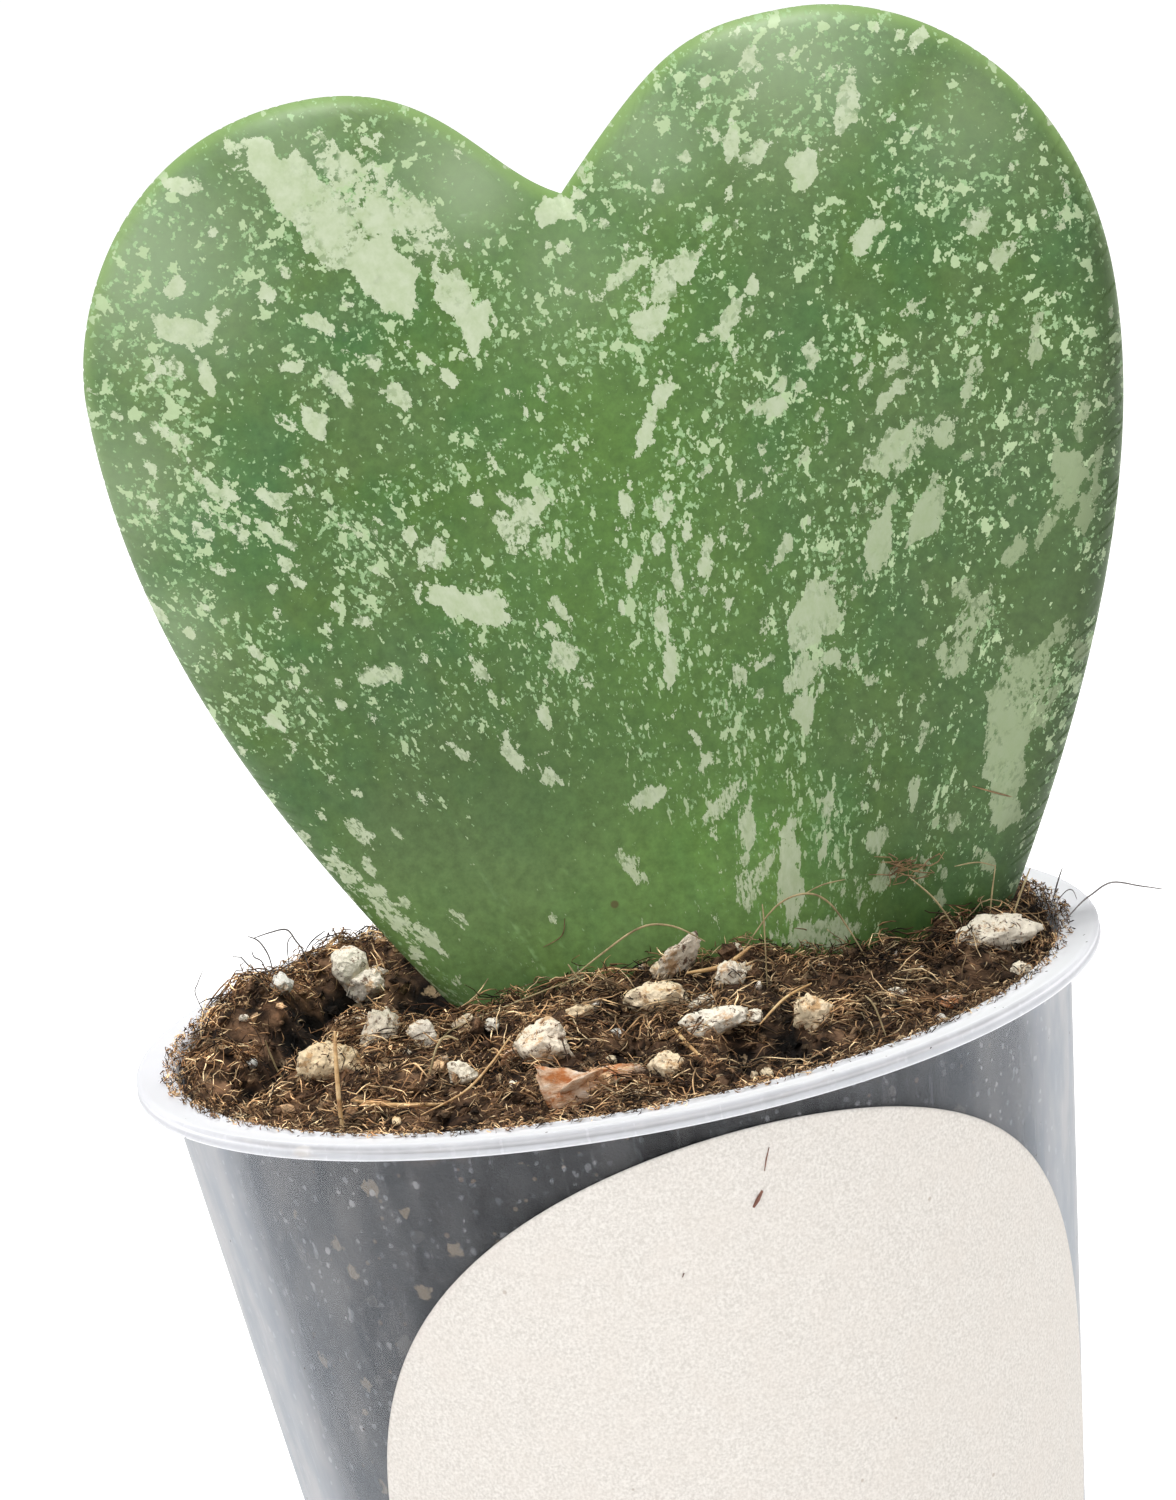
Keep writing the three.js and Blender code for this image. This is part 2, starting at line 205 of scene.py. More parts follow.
soft_box("key_light", (-0.5, -0.55, 0.75), 0.4, 2.5)
soft_box("fill_light", (0.7, -0.6, 0.4), 0.6, 0.65)
soft_box("top_light", (0.02, 0.05, 0.9), 0.25, 5.0)
print("lights:", len(bpy.data.lights))

world = bpy.data.worlds.new("white_room")
world.use_nodes = True
world.node_tree.nodes["Background"].inputs["Color"].default_value = colour("#ffffff")
world.node_tree.nodes["Background"].inputs["Strength"].default_value = 0.5
scene.world = world

# %% Floor
FLOOR_RADIUS = 6.0

floor_bm = bmesh.new()
bmesh.ops.create_circle(floor_bm, cap_ends=True, segments=96, radius=FLOOR_RADIUS)
floor = linked("studio_floor", mesh_from(floor_bm, "studio_floor"))
floor_paint, _ = new_material("white studio paint")
add("OutputMaterial", add("AddShader", add("BsdfDiffuse", "#ebebea"), add("Emission", "#ffffff", Strength=0.64)))
floor.data.materials.append(floor_paint)
print("floor:", 2 * FLOOR_RADIUS, "m across")

# %% [markdown]
# The pot is thin frosted polypropylene. Its wall is a shape of revolution, so a profile is drawn once and spun. The
# rim is turned out, with a fine bead on its inner lip and two on its outer one, which catch the light as bright lines.

# %% Pot sizes
POT_HEIGHT = 65.0
WALL_TOP_RADIUS = 32.0
WALL_FOOT_RADIUS = 23.8
WALL_THICKNESS = 0.8
FLOOR_THICKNESS = 1.0
WALL_SLOPE = (WALL_TOP_RADIUS - WALL_FOOT_RADIUS) / POT_HEIGHT
WALL_ANGLE = math.atan(WALL_SLOPE)
POT_STEPS = 200


def wall_radius(height):
    """The outer radius of the pot's wall."""
    return WALL_FOOT_RADIUS + WALL_SLOPE * height


print("the wall leans out by", round(math.degrees(WALL_ANGLE), 1), "degrees")


# %% Pot
def spun(profile, steps):
    """Spins an outline of (radius, height) pairs round the upright axis and closes it."""
    bm = bmesh.new()
    line = [bm.verts.new((radius, 0, height)) for radius, height in profile]
    edges = [bm.edges.new(pair) for pair in zip(line, line[1:])]
    bmesh.ops.spin(bm, geom=line + edges, cent=(0, 0, 0), axis=(0, 0, 1), dvec=(0, 0, 0),
                   angle=2 * math.pi, steps=steps, use_merge=True, use_duplicate=False)
    bmesh.ops.remove_doubles(bm, verts=bm.verts, dist=1e-4)
    bmesh.ops.recalc_face_normals(bm, faces=bm.faces)
    return bm


def pot_outline():
    """The pot's section, from the middle of its underside out, up, over the rim and down inside."""
    foot = [(0, 0.35), (17.0, 0.35), (18.5, 0.0), (23.0, 0.0), (23.5, 0.12), (23.8, 0.45)]
    outer_wall = [(wall_radius(h), h) for h in np.linspace(0.9, 63.3, 24)]
    rim = [(31.88, 63.62), (32.05, 63.78), (32.35, 63.86), (33.4, 63.88), (33.8, 63.9), (33.96, 63.98), (34.0, 64.1),
           (33.95, 64.24), (33.86, 64.34), (33.85, 64.5), (33.93, 64.62), (33.96, 64.76), (33.88, 64.9),
           (33.68, 64.98), (33.4, 64.96), (33.0, 64.86), (32.3, 64.84), (31.95, 64.88), (31.75, 64.97),
           (31.52, 65.0), (31.3, 64.95), (31.18, 64.8)]
    inner_wall = [(wall_radius(h) - WALL_THICKNESS, h) for h in np.linspace(64.4, 1.9, 24)]
    inner_floor = [(23.1, 1.4), (22.6, 1.05), (18.0, 1.0), (16.5, 1.35), (0, 1.35)]
    return foot + outer_wall + rim + inner_wall + inner_floor


pot_bm = spun(pot_outline(), POT_STEPS)
print("pot faces:", len(pot_bm.faces))

# %% Drain holes
DRAIN_HOLES = 8
DRAIN_RING_RADIUS = 15.0
DRAIN_HOLE_RADIUS = 1.9

pot_mesh = mesh_from(pot_bm, "pot_shell")
drill_bm = bmesh.new()
for hole in range(DRAIN_HOLES):
    angle = 2 * math.pi * hole / DRAIN_HOLES
    spot = Matrix.Translation((DRAIN_RING_RADIUS * math.cos(angle), DRAIN_RING_RADIUS * math.sin(angle), 0.8))
    bmesh.ops.create_cone(drill_bm, cap_ends=True, segments=32, radius1=DRAIN_HOLE_RADIUS,
                          radius2=DRAIN_HOLE_RADIUS, depth=4, matrix=spot)
drill = linked("drill", mesh_from(drill_bm, "drill"))
blank = linked("blank", pot_mesh)
cut = blank.modifiers.new("drain holes", "BOOLEAN")
cut.operation = "DIFFERENCE"
cut.solver = "EXACT"
cut.object = drill
pot_mesh = evaluated(blank, drill)
print("pot faces with holes:", len(pot_mesh.polygons))

# %% [markdown]
# The pot is thin polypropylene, clear but frosted in the mould. Seen square on, it lets the dark mix show through.
# Seen along its surface there is more plastic in the way, so it turns milky towards both sides. Dust, droplets and
# fine scuffs sit on it, and the thick rim is whitest. Real scattering would be slow to render, so clear and milky
# plastic are mixed instead, with more milk where the wall is seen at a slant. It is dull, so its shine is broad.

# %% Frosted polypropylene
frosted, place = new_material("frosted polypropylene")
height = add("SeparateXYZ", place, out="Z")
facing = add("LayerWeight", Blend=0.5, out="Facing")

# Soft milky clouds 3 mm across, drawn out upwards, as plastic runs in a mould.
upright = add("Mapping", place, Scale=(1, 1, 0.4))
cloud = add("TexNoise", upright, 1 / (3.2 * MM), 3.0, 0.6)

# Droplets and dust, up to 0.5 mm across. Real ones are finer, and are drawn this coarse so that they show.
smear = add("Math", add("TexNoise", upright, 1 / (0.6 * MM), 2.0, 0.65), 0.5, operation="SUBTRACT")
droplet = add("Math", smear, 1.1, flecks(place, 0.75, 0.25, 0.36), operation="MULTIPLY_ADD")
droplet = add("MapRange", droplet, 0.0, 0.12)
for part in (add("MapRange", cloud, 0.4, 0.62, 0.12, 0.34), add("MapRange", height, 63.0 * MM, 63.5 * MM, 1.0, 0.15)):
    droplet = add("Math", droplet, part, operation="MULTIPLY")
dirt = add("MapRange", flecks(place, 0.75, 0.85, 0.16, "Y"), 0.0, 0.04)

# Upright scuffs, as stacked pots have. Real ones are as fine as a hair. These are 0.5 mm wide, so that they show.
scuff_way = add("Mapping", place, Scale=(1, 1, 0.03))
scuff = add("MapRange", add("TexNoise", scuff_way, 1 / (0.5 * MM), 1.0, 0.6), 0.68, 0.72, 0.0, 0.07)

# The milk adds up: more at a slant, in the clouds, in droplets and scuffs and in the thick rim.
milk = add("MapRange", facing, 0.07, 0.72, 0.008, 0.3, interpolation_type="SMOOTHSTEP")
for more in (add("MapRange", facing, 0.55, 0.75, 0.0, 0.47, interpolation_type="SMOOTHSTEP"),
             add("MapRange", cloud, 0.36, 0.68, 0.0, 0.09), add("Math", droplet, scuff),
             add("MapRange", height, 63.6 * MM, 63.95 * MM, 0.0, 0.45)):
    milk = add("Math", milk, more)
milk = add("Math", milk, 0.9, operation="MINIMUM")

tone = add("Mix", add("MapRange", cloud, 0.38, 0.62), "#a1a6ae", "#b2b2b5", data_type="RGBA")
for share, coat in ((add("MapRange", height, 63.5 * MM, 64.0 * MM), "#ebebef"), (dirt, "#3a2f27")):
    tone = add("Mix", share, tone, coat, data_type="RGBA")
body = add("BsdfPrincipled", tone, Roughness=0.6, Specular_IOR_Level=0.2)
solid_share = add("Math", milk, add("Math", dirt, 0.8, operation="MULTIPLY"), operation="MAXIMUM")
wall = add("MixShader", solid_share, add("BsdfTransparent", "#f1f3f5"), body)
gleam = add("Math", add("Math", facing, 5.0, operation="POWER"), 0.12, 0.015, operation="MULTIPLY_ADD")
add("OutputMaterial", add("MixShader", gleam, wall, add("BsdfGlossy", "#ffffff", Roughness=0.42)))
keep("pot_shell", pot_mesh, frosted, ["pot"])

# %% [markdown]
# The sticker is a round of uncoated paper. A cone unrolls flat, so the round is made flat and each of its points is
# wrapped back on to the wall. It is left bare: only the paper's grain and a few bits of mix show. Uncoated paper is
# matt and a warm white, and its grain gives the eye the scale of the pot.

# %% Sticker
STICKER_RADIUS = 30.2
STICKER_HEIGHT = 32.4
STICKER_TURN = math.radians(13.6)
PAPER_THICKNESS = 0.16
GLUE_GAP = 0.06


def on_wall(across, up, standoff):
    """A point of the unrolled wall, measured from the sticker's middle, wrapped round the pot."""
    from_apex = wall_radius(STICKER_HEIGHT) / math.sin(WALL_ANGLE) + up
    round_by = np.arctan2(across, from_apex) / math.sin(WALL_ANGLE) + STICKER_TURN
    wall_here = np.hypot(across, from_apex) * math.sin(WALL_ANGLE)
    radius = wall_here + standoff * math.cos(WALL_ANGLE)
    up_here = (wall_here - WALL_FOOT_RADIUS) / WALL_SLOPE - standoff * math.sin(WALL_ANGLE)
    return np.stack([radius * np.sin(round_by), -radius * np.cos(round_by), up_here], axis=-1)


paper_edge = [(STICKER_RADIUS - 0.06, PAPER_THICKNESS), (STICKER_RADIUS, PAPER_THICKNESS - 0.05),
              (STICKER_RADIUS, 0.04), (STICKER_RADIUS - 0.05, 0.0)]
front = [(radius, PAPER_THICKNESS) for radius in np.linspace(0, STICKER_RADIUS - 0.3, 22)]
back = [(radius, 0.0) for radius in np.linspace(STICKER_RADIUS - 0.3, 0, 22)]
sticker_mesh = mesh_from(spun(front + paper_edge + back, 180), "sticker_paper")
flat = points_of(sticker_mesh)
move_points(sticker_mesh, on_wall(flat[:, 0], flat[:, 1], GLUE_GAP + flat[:, 2]))
print("sticker:", 2 * STICKER_RADIUS, "mm across")

# %% Uncoated paper
paper, place = new_material("uncoated sticker paper")
# Paper fibres are 0.02 mm thick. They are drawn as a grain of 0.2 mm, the finest that shows.
grain = add("TexNoise", place, 1 / (0.2 * MM), 3.0, 0.6)
tone = add("Mix", add("MapRange", grain, 0.34, 0.66), "#cac4bd", "#e4dfd9", data_type="RGBA")
# Faint damp blotches of 3 mm, and specks of mix up to 0.3 mm across.
blotch = add("MapRange", add("TexNoise", place, 1 / (3.0 * MM), 4.0, 0.6), 0.42, 0.66, 0.0, 0.35)
speck = add("MapRange", flecks(place, 1.5, 0.8, 0.12), 0.0, 0.03, 0.0, 0.5)
for share, coat in ((blotch, "#dad2ca"), (speck, "#9c8b7c")):
    tone = add("Mix", share, tone, coat, data_type="RGBA")
relief = add("Bump", Strength=0.35, Distance=0.05 * MM, Height=grain)
add("OutputMaterial", add("BsdfPrincipled", tone, Roughness=0.85, Specular_IOR_Level=0.3, Normal=relief))
keep("sticker_paper", sticker_mesh, paper, ["sticker"])

# %% [markdown]
# The mix is coir, peat and perlite. Its body is spun like the pot, and its top is then pushed into a landscape: a low
# mound, with the clods and hollows of the real plant and random lumps at three sizes. It is heaped up at the left and
# the back, falls into a dark ravine, and leaves a hole beside the leaf. Random lattices with smooth steps between
# their values give the small lumps, because they are fast and come out the same every time.

# %% Soil landscape
SOIL_EDGE_HEIGHT = 63.8
SOIL_MOUND = 2.2
SOIL_GAP = 0.3
HOLLOW_DARKENING = 2.4
LATTICE = 160
# Each hollow or clod: x, y, reach and rise.
HOLLOWS = [
    (-12, 0.5, 3, -5), (-12.2, 5.5, 3.8, -6), (-12.6, 11, 3.6, -7), (-9.6, 0.5, 2.4, -3), (-25.2, -7.6, 2, -4.5),
    (-22.8, -2.2, 2.4, -6), (-21.2, 4, 2.6, -6), (-20.6, 9.5, 2.4, -5), (-18.8, 13.5, 2, -4), (25.5, -13.5, 2.2, -3.2),
    (10, -22.5, 2.8, -3), (-12, -25.5, 2, -2.8), (16, -12, 2.2, -2.2), (0.5, -19.5, 2, -2.2)]
CLODS = [
    (-27, 8, 4.6, 2.7), (-22.5, 18, 5.5, 2.3), (-28.5, -3.5, 3.2, 2), (-10, 23, 7, 1.4), (-19, -13, 4.5, 1),
    (-2, -9, 5, 1), (12, -8, 5, 0.8), (27.5, 1, 4.5, 3), (15, 17, 7, 2), (4, -20, 3.5, 0.5)]


def soil_radius(height):
    """The mix fills the pot to a hair's breadth of its wall."""
    return wall_radius(height) - (WALL_THICKNESS + SOIL_GAP) / math.cos(WALL_ANGLE)


def lumps(x, y, size, seed):
    """Smooth random heights from -1 to 1 whose lumps are about size across."""
    lattice = np.random.default_rng(seed).uniform(-1, 1, (LATTICE, LATTICE))
    u, v = (np.asarray(a) / size + LATTICE / 2 for a in (x, y))
    i, j = (np.floor(a).astype(int) for a in (u, v))
    s, t = (a * a * (3 - 2 * a) for a in (u - i, v - j))
    low = lattice[i, j] * (1 - s) + lattice[i + 1, j] * s
    high = lattice[i, j + 1] * (1 - s) + lattice[i + 1, j + 1] * s
    return low * (1 - t) + high * t


def ragged(x, y):
    """Places shifted by up to a millimetre, which frays the outline of any round mark."""
    return x + 1.2 * lumps(x, y, 1.8, 21), y + 1.2 * lumps(x, y, 1.8, 22)


def soil_top(x, y):
    """The height of the mix at a place."""
    away = np.minimum(np.hypot(x, y) / soil_radius(SOIL_EDGE_HEIGHT), 1.0)
    mound = SOIL_EDGE_HEIGHT + SOIL_MOUND * (1 - away ** 3)
    fade = np.minimum(1.0, 6 * (1 - away) + 0.4)
    form = 0.7 * lumps(x, y, 4.2, 11) + 0.5 * lumps(x, y, 1.9, 12) + 0.3 * lumps(x, y, 0.9, 13)
    rx, ry = ragged(x, y)
    for cx, cy, reach, rise in HOLLOWS + CLODS:
        form = form + rise * np.exp(-((rx - cx) ** 2 + (ry - cy) ** 2) / reach ** 2)
    return mound + fade * form


def hollow_share(x, y):
    """1 in a deep hollow, less in a shallow one, 0 away from them all."""
    x, y = ragged(x, y)
    return np.max([min(-rise / 5, 1) * np.exp(-(((x - cx) ** 2 + (y - cy) ** 2) / (1.1 * reach) ** 2) ** 2)
                   for cx, cy, reach, rise in HOLLOWS], axis=0)


LEVEL_STEP = 0.4
LEVEL_BLUR = 2.4
LEVEL_REACH = 35
BLUR_STEPS = 15
level_line = np.arange(-LEVEL_REACH, LEVEL_REACH + 0.1, LEVEL_STEP)
level_grid = soil_top(*np.meshgrid(level_line, level_line, indexing="ij"))
weights = np.exp(-((np.arange(-BLUR_STEPS, BLUR_STEPS + 1) * LEVEL_STEP / LEVEL_BLUR) ** 2))
weights /= weights.sum()
for way in (0, 1):
    level_grid = np.apply_along_axis(
        lambda line: np.convolve(np.pad(line, BLUR_STEPS, "edge"), weights, "valid"), way, level_grid)


def openness(mesh):
    """Keeps, on each vertex of a mesh, how far it stands above the mix around it, less in a hollow."""
    x, y, z = points_of(mesh).T
    i, j = (np.clip(np.rint((a + LEVEL_REACH) / LEVEL_STEP).astype(int), 0, len(level_line) - 1) for a in (x, y))
    # The materials turn this height into damp and painted shade.
    store(mesh, "open", z - level_grid[i, j] - HOLLOW_DARKENING * hollow_share(x, y))
    return mesh


print("mix in the middle stands at", round(float(soil_top(0.0, 0.0)), 1), "mm")

# %% Soil body
SOIL_STEPS = 320
SOIL_FOOT = FLOOR_THICKNESS + SOIL_GAP + 0.1
wall_heights = np.linspace(SOIL_FOOT, SOIL_EDGE_HEIGHT, 16)
top_radii = np.linspace(soil_radius(SOIL_EDGE_HEIGHT), 0, 90)[1:]
soil_outline = [(0, SOIL_FOOT), (soil_radius(SOIL_FOOT) - 0.5, SOIL_FOOT)]
soil_outline += [(soil_radius(h), h) for h in wall_heights[1:]]
soil_outline += [(r, SOIL_EDGE_HEIGHT + 1) for r in top_radii]
soil_mesh = mesh_from(spun(soil_outline, SOIL_STEPS), "soil_body")
soil_points = points_of(soil_mesh)
on_top = soil_points[:, 2] > SOIL_EDGE_HEIGHT + 0.5
soil_points[on_top, 2] = soil_top(soil_points[on_top, 0], soil_points[on_top, 1])
move_points(soil_mesh, soil_points)

# %% [markdown]
# All that lies in the mix gets darker where it lies low: cavities are damp, and the rest of that darkening is painted
# shade. Each vertex keeps how far it stands above the smoothed level of the mix around it, and one function turns that
# into a share of the colour. A noise of 2 mm adds damp and dry places, and the mix gets lighter towards the left. Damp
# peat is nearly black and quite matt, and it makes the pale grains and fibres stand out.

# %% Peat and coir
def damp_and_painted_shade(place):
    """How much colour is left: little in the cavities, as damp and painted shade, and all of it on top."""
    damp = add("MapRange", add("TexNoise", place, 1 / (1.9 * MM), 2.0, 0.6), 0.38, 0.62, 0.25, 1.6)
    # Lighter towards the left, and darker the lower a vertex lies, near black in the hollows: damp and painted shade.
    for part in (add("MapRange", add("SeparateXYZ", place, out="X"), -22 * MM, 24 * MM, 1.4, 0.85),
                 add("MapRange", add("Attribute", attribute_name="open", out="Fac"), -1.15, 0.9, 0.06, 1.4)):
        damp = add("Math", damp, part, operation="MULTIPLY")
    return damp


peat, place = new_material("moist peat and coir")
# Peat crumbs of 1 mm in patches of 4 mm. Real peat is finer, but would show as one flat brown.
crumb = add("TexNoise", place, 1 / (1.1 * MM), 3.0, 0.7)
patchy = add("MapRange", add("TexNoise", place, 1 / (4.0 * MM), 2.0, 0.6), 0.45, 0.7, 0.0, 0.6)
tone = add("Mix", add("MapRange", crumb, 0.36, 0.66), "#170f0b", "#57402f", data_type="RGBA")
tone = add("Mix", patchy, tone, "#84674f", data_type="RGBA")
tone = add("VectorMath", tone, damp_and_painted_shade(place), operation="SCALE")
# Flecks of pale husk, ragged ones 1.5 mm across and small round ones.
rough = add("Math", add("TexNoise", place, 1 / (0.6 * MM), 2.0, 0.7), 0.5, operation="SUBTRACT")
chip = add("Math", rough, 0.5, flecks(place, 2.6, 0.55, 0.3), operation="MULTIPLY_ADD")
for share, coat in ((add("MapRange", chip, 0.0, 0.06, 0.0, 0.75), "#b39a7a"),
                    (add("MapRange", flecks(place, 0.8, 0.7, 0.3), 0.0, 0.06, 0.0, 0.5), "#8f7558")):
    tone = add("Mix", share, tone, coat, data_type="RGBA")
relief = add("Bump", Strength=0.7, Distance=0.4 * MM, Height=crumb)
add("OutputMaterial", add("BsdfPrincipled", tone, Roughness=0.92, Specular_IOR_Level=0.25, Normal=relief))
keep("soil_body", openness(soil_mesh), peat, replaced=["soil"])

# %% [markdown]
# Loose crumbs lie all over the mound. A few dozen faces are enough for each. An icosphere is cut by random planes,
# which gives a chunk with flats and corners, and copies are strewn at random places, turns and sizes into one mesh.

# %% Chunk templates
def chunk(subdivisions, planes, grain, seed):
    """The corners and faces of one broken chunk, about a millimetre across."""
    bm = bmesh.new()
    bmesh.ops.create_icosphere(bm, subdivisions=subdivisions, radius=1)
    bm.verts.ensure_lookup_table()
    ways = np.array([v.co[:] for v in bm.verts])
    faces = np.array([[v.index for v in f.verts] for f in bm.faces])
    bm.free()
    draw = np.random.default_rng(seed)
    normals = draw.normal(size=(planes, 3))
    normals /= np.linalg.norm(normals, axis=1, keepdims=True)
    along = ways @ normals.T
    cut = draw.uniform(0.34, 0.52, planes)
    reach = np.where(along > 0.1, cut / np.maximum(along, 0.1), 9.0).min(axis=1)
    reach = np.minimum(reach, 0.6)
    waves = draw.normal(size=(6, 3)) * 7
    pits = np.mean([np.sin(ways @ wave + draw.uniform(0, 6)) for wave in waves], axis=0)
    reach = reach * (1 + grain * (pits + draw.uniform(-0.5, 0.5, len(reach))))
    return ways * reach[:, None], faces


def splinter(seed):
    """A chunk that narrows towards one end."""
    points, faces = chunk(4, 8, 0.12, seed)
    return points * np.column_stack([1 + 0 * points[:, 0], 0.85 - 1.3 * points[:, 0], 1 + 0 * points[:, 0]]), faces


# %% Turns and strewing
def turns_of(yaw, pitch, roll):
    """Rotations as an array of 3 by 3 matrices: a roll, then a pitch, then a yaw, in radians."""
    yaw, pitch, roll = np.broadcast_arrays(*(np.atleast_1d(np.asarray(a, dtype=float)) for a in (yaw, pitch, roll)))
    cy, sy, cp, sp, cr, sr = (f(a) for a in (yaw, pitch, roll) for f in (np.cos, np.sin))
    rows = ((cy * cp, cy * sp * sr - sy * cr, cy * sp * cr + sy * sr),
            (sy * cp, sy * sp * sr + cy * cr, sy * sp * cr - cy * sr), (-sp, cp * sr, cp * cr))
    return np.stack([np.stack(row, axis=-1) for row in rows], axis=1)


def random_turns(count, draw):
    """Turns with no direction preferred."""
    spin = draw.uniform(0, 2 * math.pi, (2, count))
    return turns_of(spin[0], np.arcsin(draw.uniform(-1, 1, count)), spin[1])


def strewn(name, batches):
    """Copies of chunks at many places, as one mesh. A batch is templates, places, sizes and turns."""
    all_points = []
    all_faces = []
    start = 0
    for templates, places, sizes, turns in batches:
        for i, (place, size, turn) in enumerate(zip(places, sizes, turns)):
            points, faces = templates[i % len(templates)]
            all_points.append((points * size) @ turn.T + place)
            all_faces.append(faces + start)
            start += len(points)
    mesh = bpy.data.meshes.new(name)
    mesh.from_pydata(np.concatenate(all_points).tolist(), [], np.concatenate(all_faces).tolist())
    mesh.update()
    return mesh


STREW_REACH = 30.4


def round_places(count, draw, reach=STREW_REACH, shun=0.9):
    """Random places on the mix, evenly spread, with fewer in the hollows."""
    angle = draw.uniform(0, 2 * math.pi, count)
    x, y = reach * np.sqrt(draw.uniform(0, 1, count)) * (np.cos(angle), np.sin(angle))
    kept = draw.uniform(0, 1, count) > shun * hollow_share(x, y)
    return x[kept], y[kept]


def on_mix(x, y, rise):
    """Places that lie a rise above the mix."""
    return np.column_stack([x, y, soil_top(x, y) + rise])


# %% Crumbs
def crumb_batch(count, subdivisions, smallest, spread, seed):
    """Crumbs of one size range."""
    draw = np.random.default_rng(seed)
    x, y = round_places(count, draw, shun=1.0)
    across = smallest + spread * draw.uniform(0, 1, len(x)) ** 2.5
    sizes = across[:, None] * draw.uniform(0.4, 1.4, (len(x), 3))
    places = on_mix(x, y, across * draw.uniform(-0.1, 0.4, len(x)))
    templates = [chunk(subdivisions, 7, 0.5, seed + k) for k in range(8)]
    return templates, places, sizes, random_turns(len(x), draw)


crumb_mesh = strewn("soil_crumbs", [crumb_batch(170, 2, 0.7, 0.8, 500), crumb_batch(4600, 1, 0.3, 0.6, 600)])

# %% Crumb colours
crumbly, place = new_material("peat crumbs")
own = add("NewGeometry", out="Random Per Island")
fine = add("TexNoise", place, 1 / (0.55 * MM), 3.0, 0.75)
tone = add("ValToRGB", own, stops=["#20160f", "#3b2b20", "#574231", "#745b45", "#a5896a"])
for share in (add("MapRange", fine, 0.34, 0.66, 0.4, 1.5), damp_and_painted_shade(place)):
    tone = add("VectorMath", tone, share, operation="SCALE")
relief = add("Bump", Strength=1.0, Distance=0.4 * MM, Height=fine)
add("OutputMaterial", add("BsdfPrincipled", tone, Roughness=0.9, Specular_IOR_Level=0.25, Normal=relief))
keep("soil_crumbs", openness(crumb_mesh), crumbly, smooth=False)

# %% [markdown]
# Coir gives the mix its matted, fuzzy look. A curve with a bevel is the natural way to make a fibre: each is a short
# bent line that follows the ground, thin at both ends. They lie in tufts that share a direction, as combed husk does,
# and some stand up. A triangle as the bevel is enough for something a tenth of a millimetre thick.

# %% Fibre strands
def strands(name, lines, thickness, sides=3, ends=0.3):
    """Thin bent rods along many lines, each an array of points, as one mesh."""
    ring = bpy.data.curves.new("ring", "CURVE")
    shape = ring.splines.new("POLY")
    shape.points.add(sides - 1)
    angles = 2 * math.pi * np.arange(sides) / sides
    shape.points.foreach_set("co", np.column_stack([np.cos(angles), np.sin(angles), 0 * angles,
                                                    0 * angles + 1]).astype(np.float32).ravel())
    shape.use_cyclic_u = True
    ring_holder = linked("ring", ring)
    data = bpy.data.curves.new(name, "CURVE")
    data.dimensions = "3D"
    data.bevel_mode = "OBJECT"
    data.bevel_object = ring_holder
    data.resolution_u = 1
    data.use_fill_caps = True
    for line, thick in zip(lines, thickness):
        spline = data.splines.new("POLY")
        spline.points.add(len(line) - 1)
        spline.points.foreach_set("co", np.column_stack([line, np.ones(len(line))]).astype(np.float32).ravel())
        taper = ends + (1 - ends) * np.sin(np.linspace(0.3, math.pi - 0.3, len(line)))
        spline.points.foreach_set("radius", (0.5 * thick * taper).astype(np.float32))
    return evaluated(linked(name, data), ring_holder)


FIBRE_REACH = 30.9


def ground_lines(x, y, heading, length, wander, lift, rear, draw, steps):
    """Lines of points that run along the ground from each place, turn at each step and may rear up."""
    count = len(x)
    way = heading[:, None] + np.cumsum(draw.normal(0, 1, (count, steps)) * wander, axis=1)
    step = (length / (steps - 1))[:, None]
    px, py = (start[:, None] + np.cumsum(part(way) * step, axis=1) for start, part in ((x, np.cos), (y, np.sin)))
    pull = np.minimum(1, FIBRE_REACH / np.maximum(np.hypot(px, py), 1e-6))
    px, py = px * pull, py * pull
    ground = soil_top(px, py)
    share = np.linspace(0, 1, steps)[None, :]
    straight = ground[:, :1] * (1 - share) + ground[:, -1:] * share
    bow = np.sin(share * math.pi) * draw.uniform(-0.1, 0.5, (count, 1))
    pz = 0.7 * ground + 0.3 * straight + lift[:, None] + bow + rear[:, None] * share ** 1.5
    return np.stack([px, py, pz], axis=-1)


# %% Coir tufts
def tufts(count, each, spread, lengths, wander, reared, steps, seed):
    """Fibres in tufts that share a heading and keep out of the hollows."""
    draw = np.random.default_rng(seed)
    tx, ty = round_places(count, draw, 30.0)
    heading = draw.uniform(0, 2 * math.pi, len(tx))
    which = np.repeat(np.arange(len(tx)), each)
    x = tx[which] + draw.normal(0, spread, len(which))
    y = ty[which] + draw.normal(0, spread, len(which))
    kept = np.hypot(x, y) < 30.6
    x, y = x[kept], y[kept]
    heading = heading[which][kept] + draw.normal(0, 0.45, len(x))
    length = draw.uniform(*lengths, len(x))
    rear = np.where(draw.uniform(0, 1, len(x)) < reared, draw.uniform(0.3, 1.0, len(x)) * length * 0.6, 0.0)
    lift = draw.uniform(0.1, 1.1, len(x))
    thickness = draw.uniform(0.07, 0.14, len(x))
    lines = ground_lines(x, y, heading, length, wander, lift, rear, draw, steps)
    clear = hollow_share(lines[..., 0], lines[..., 1]).max(axis=1) < 0.3
    return lines[clear], thickness[clear]


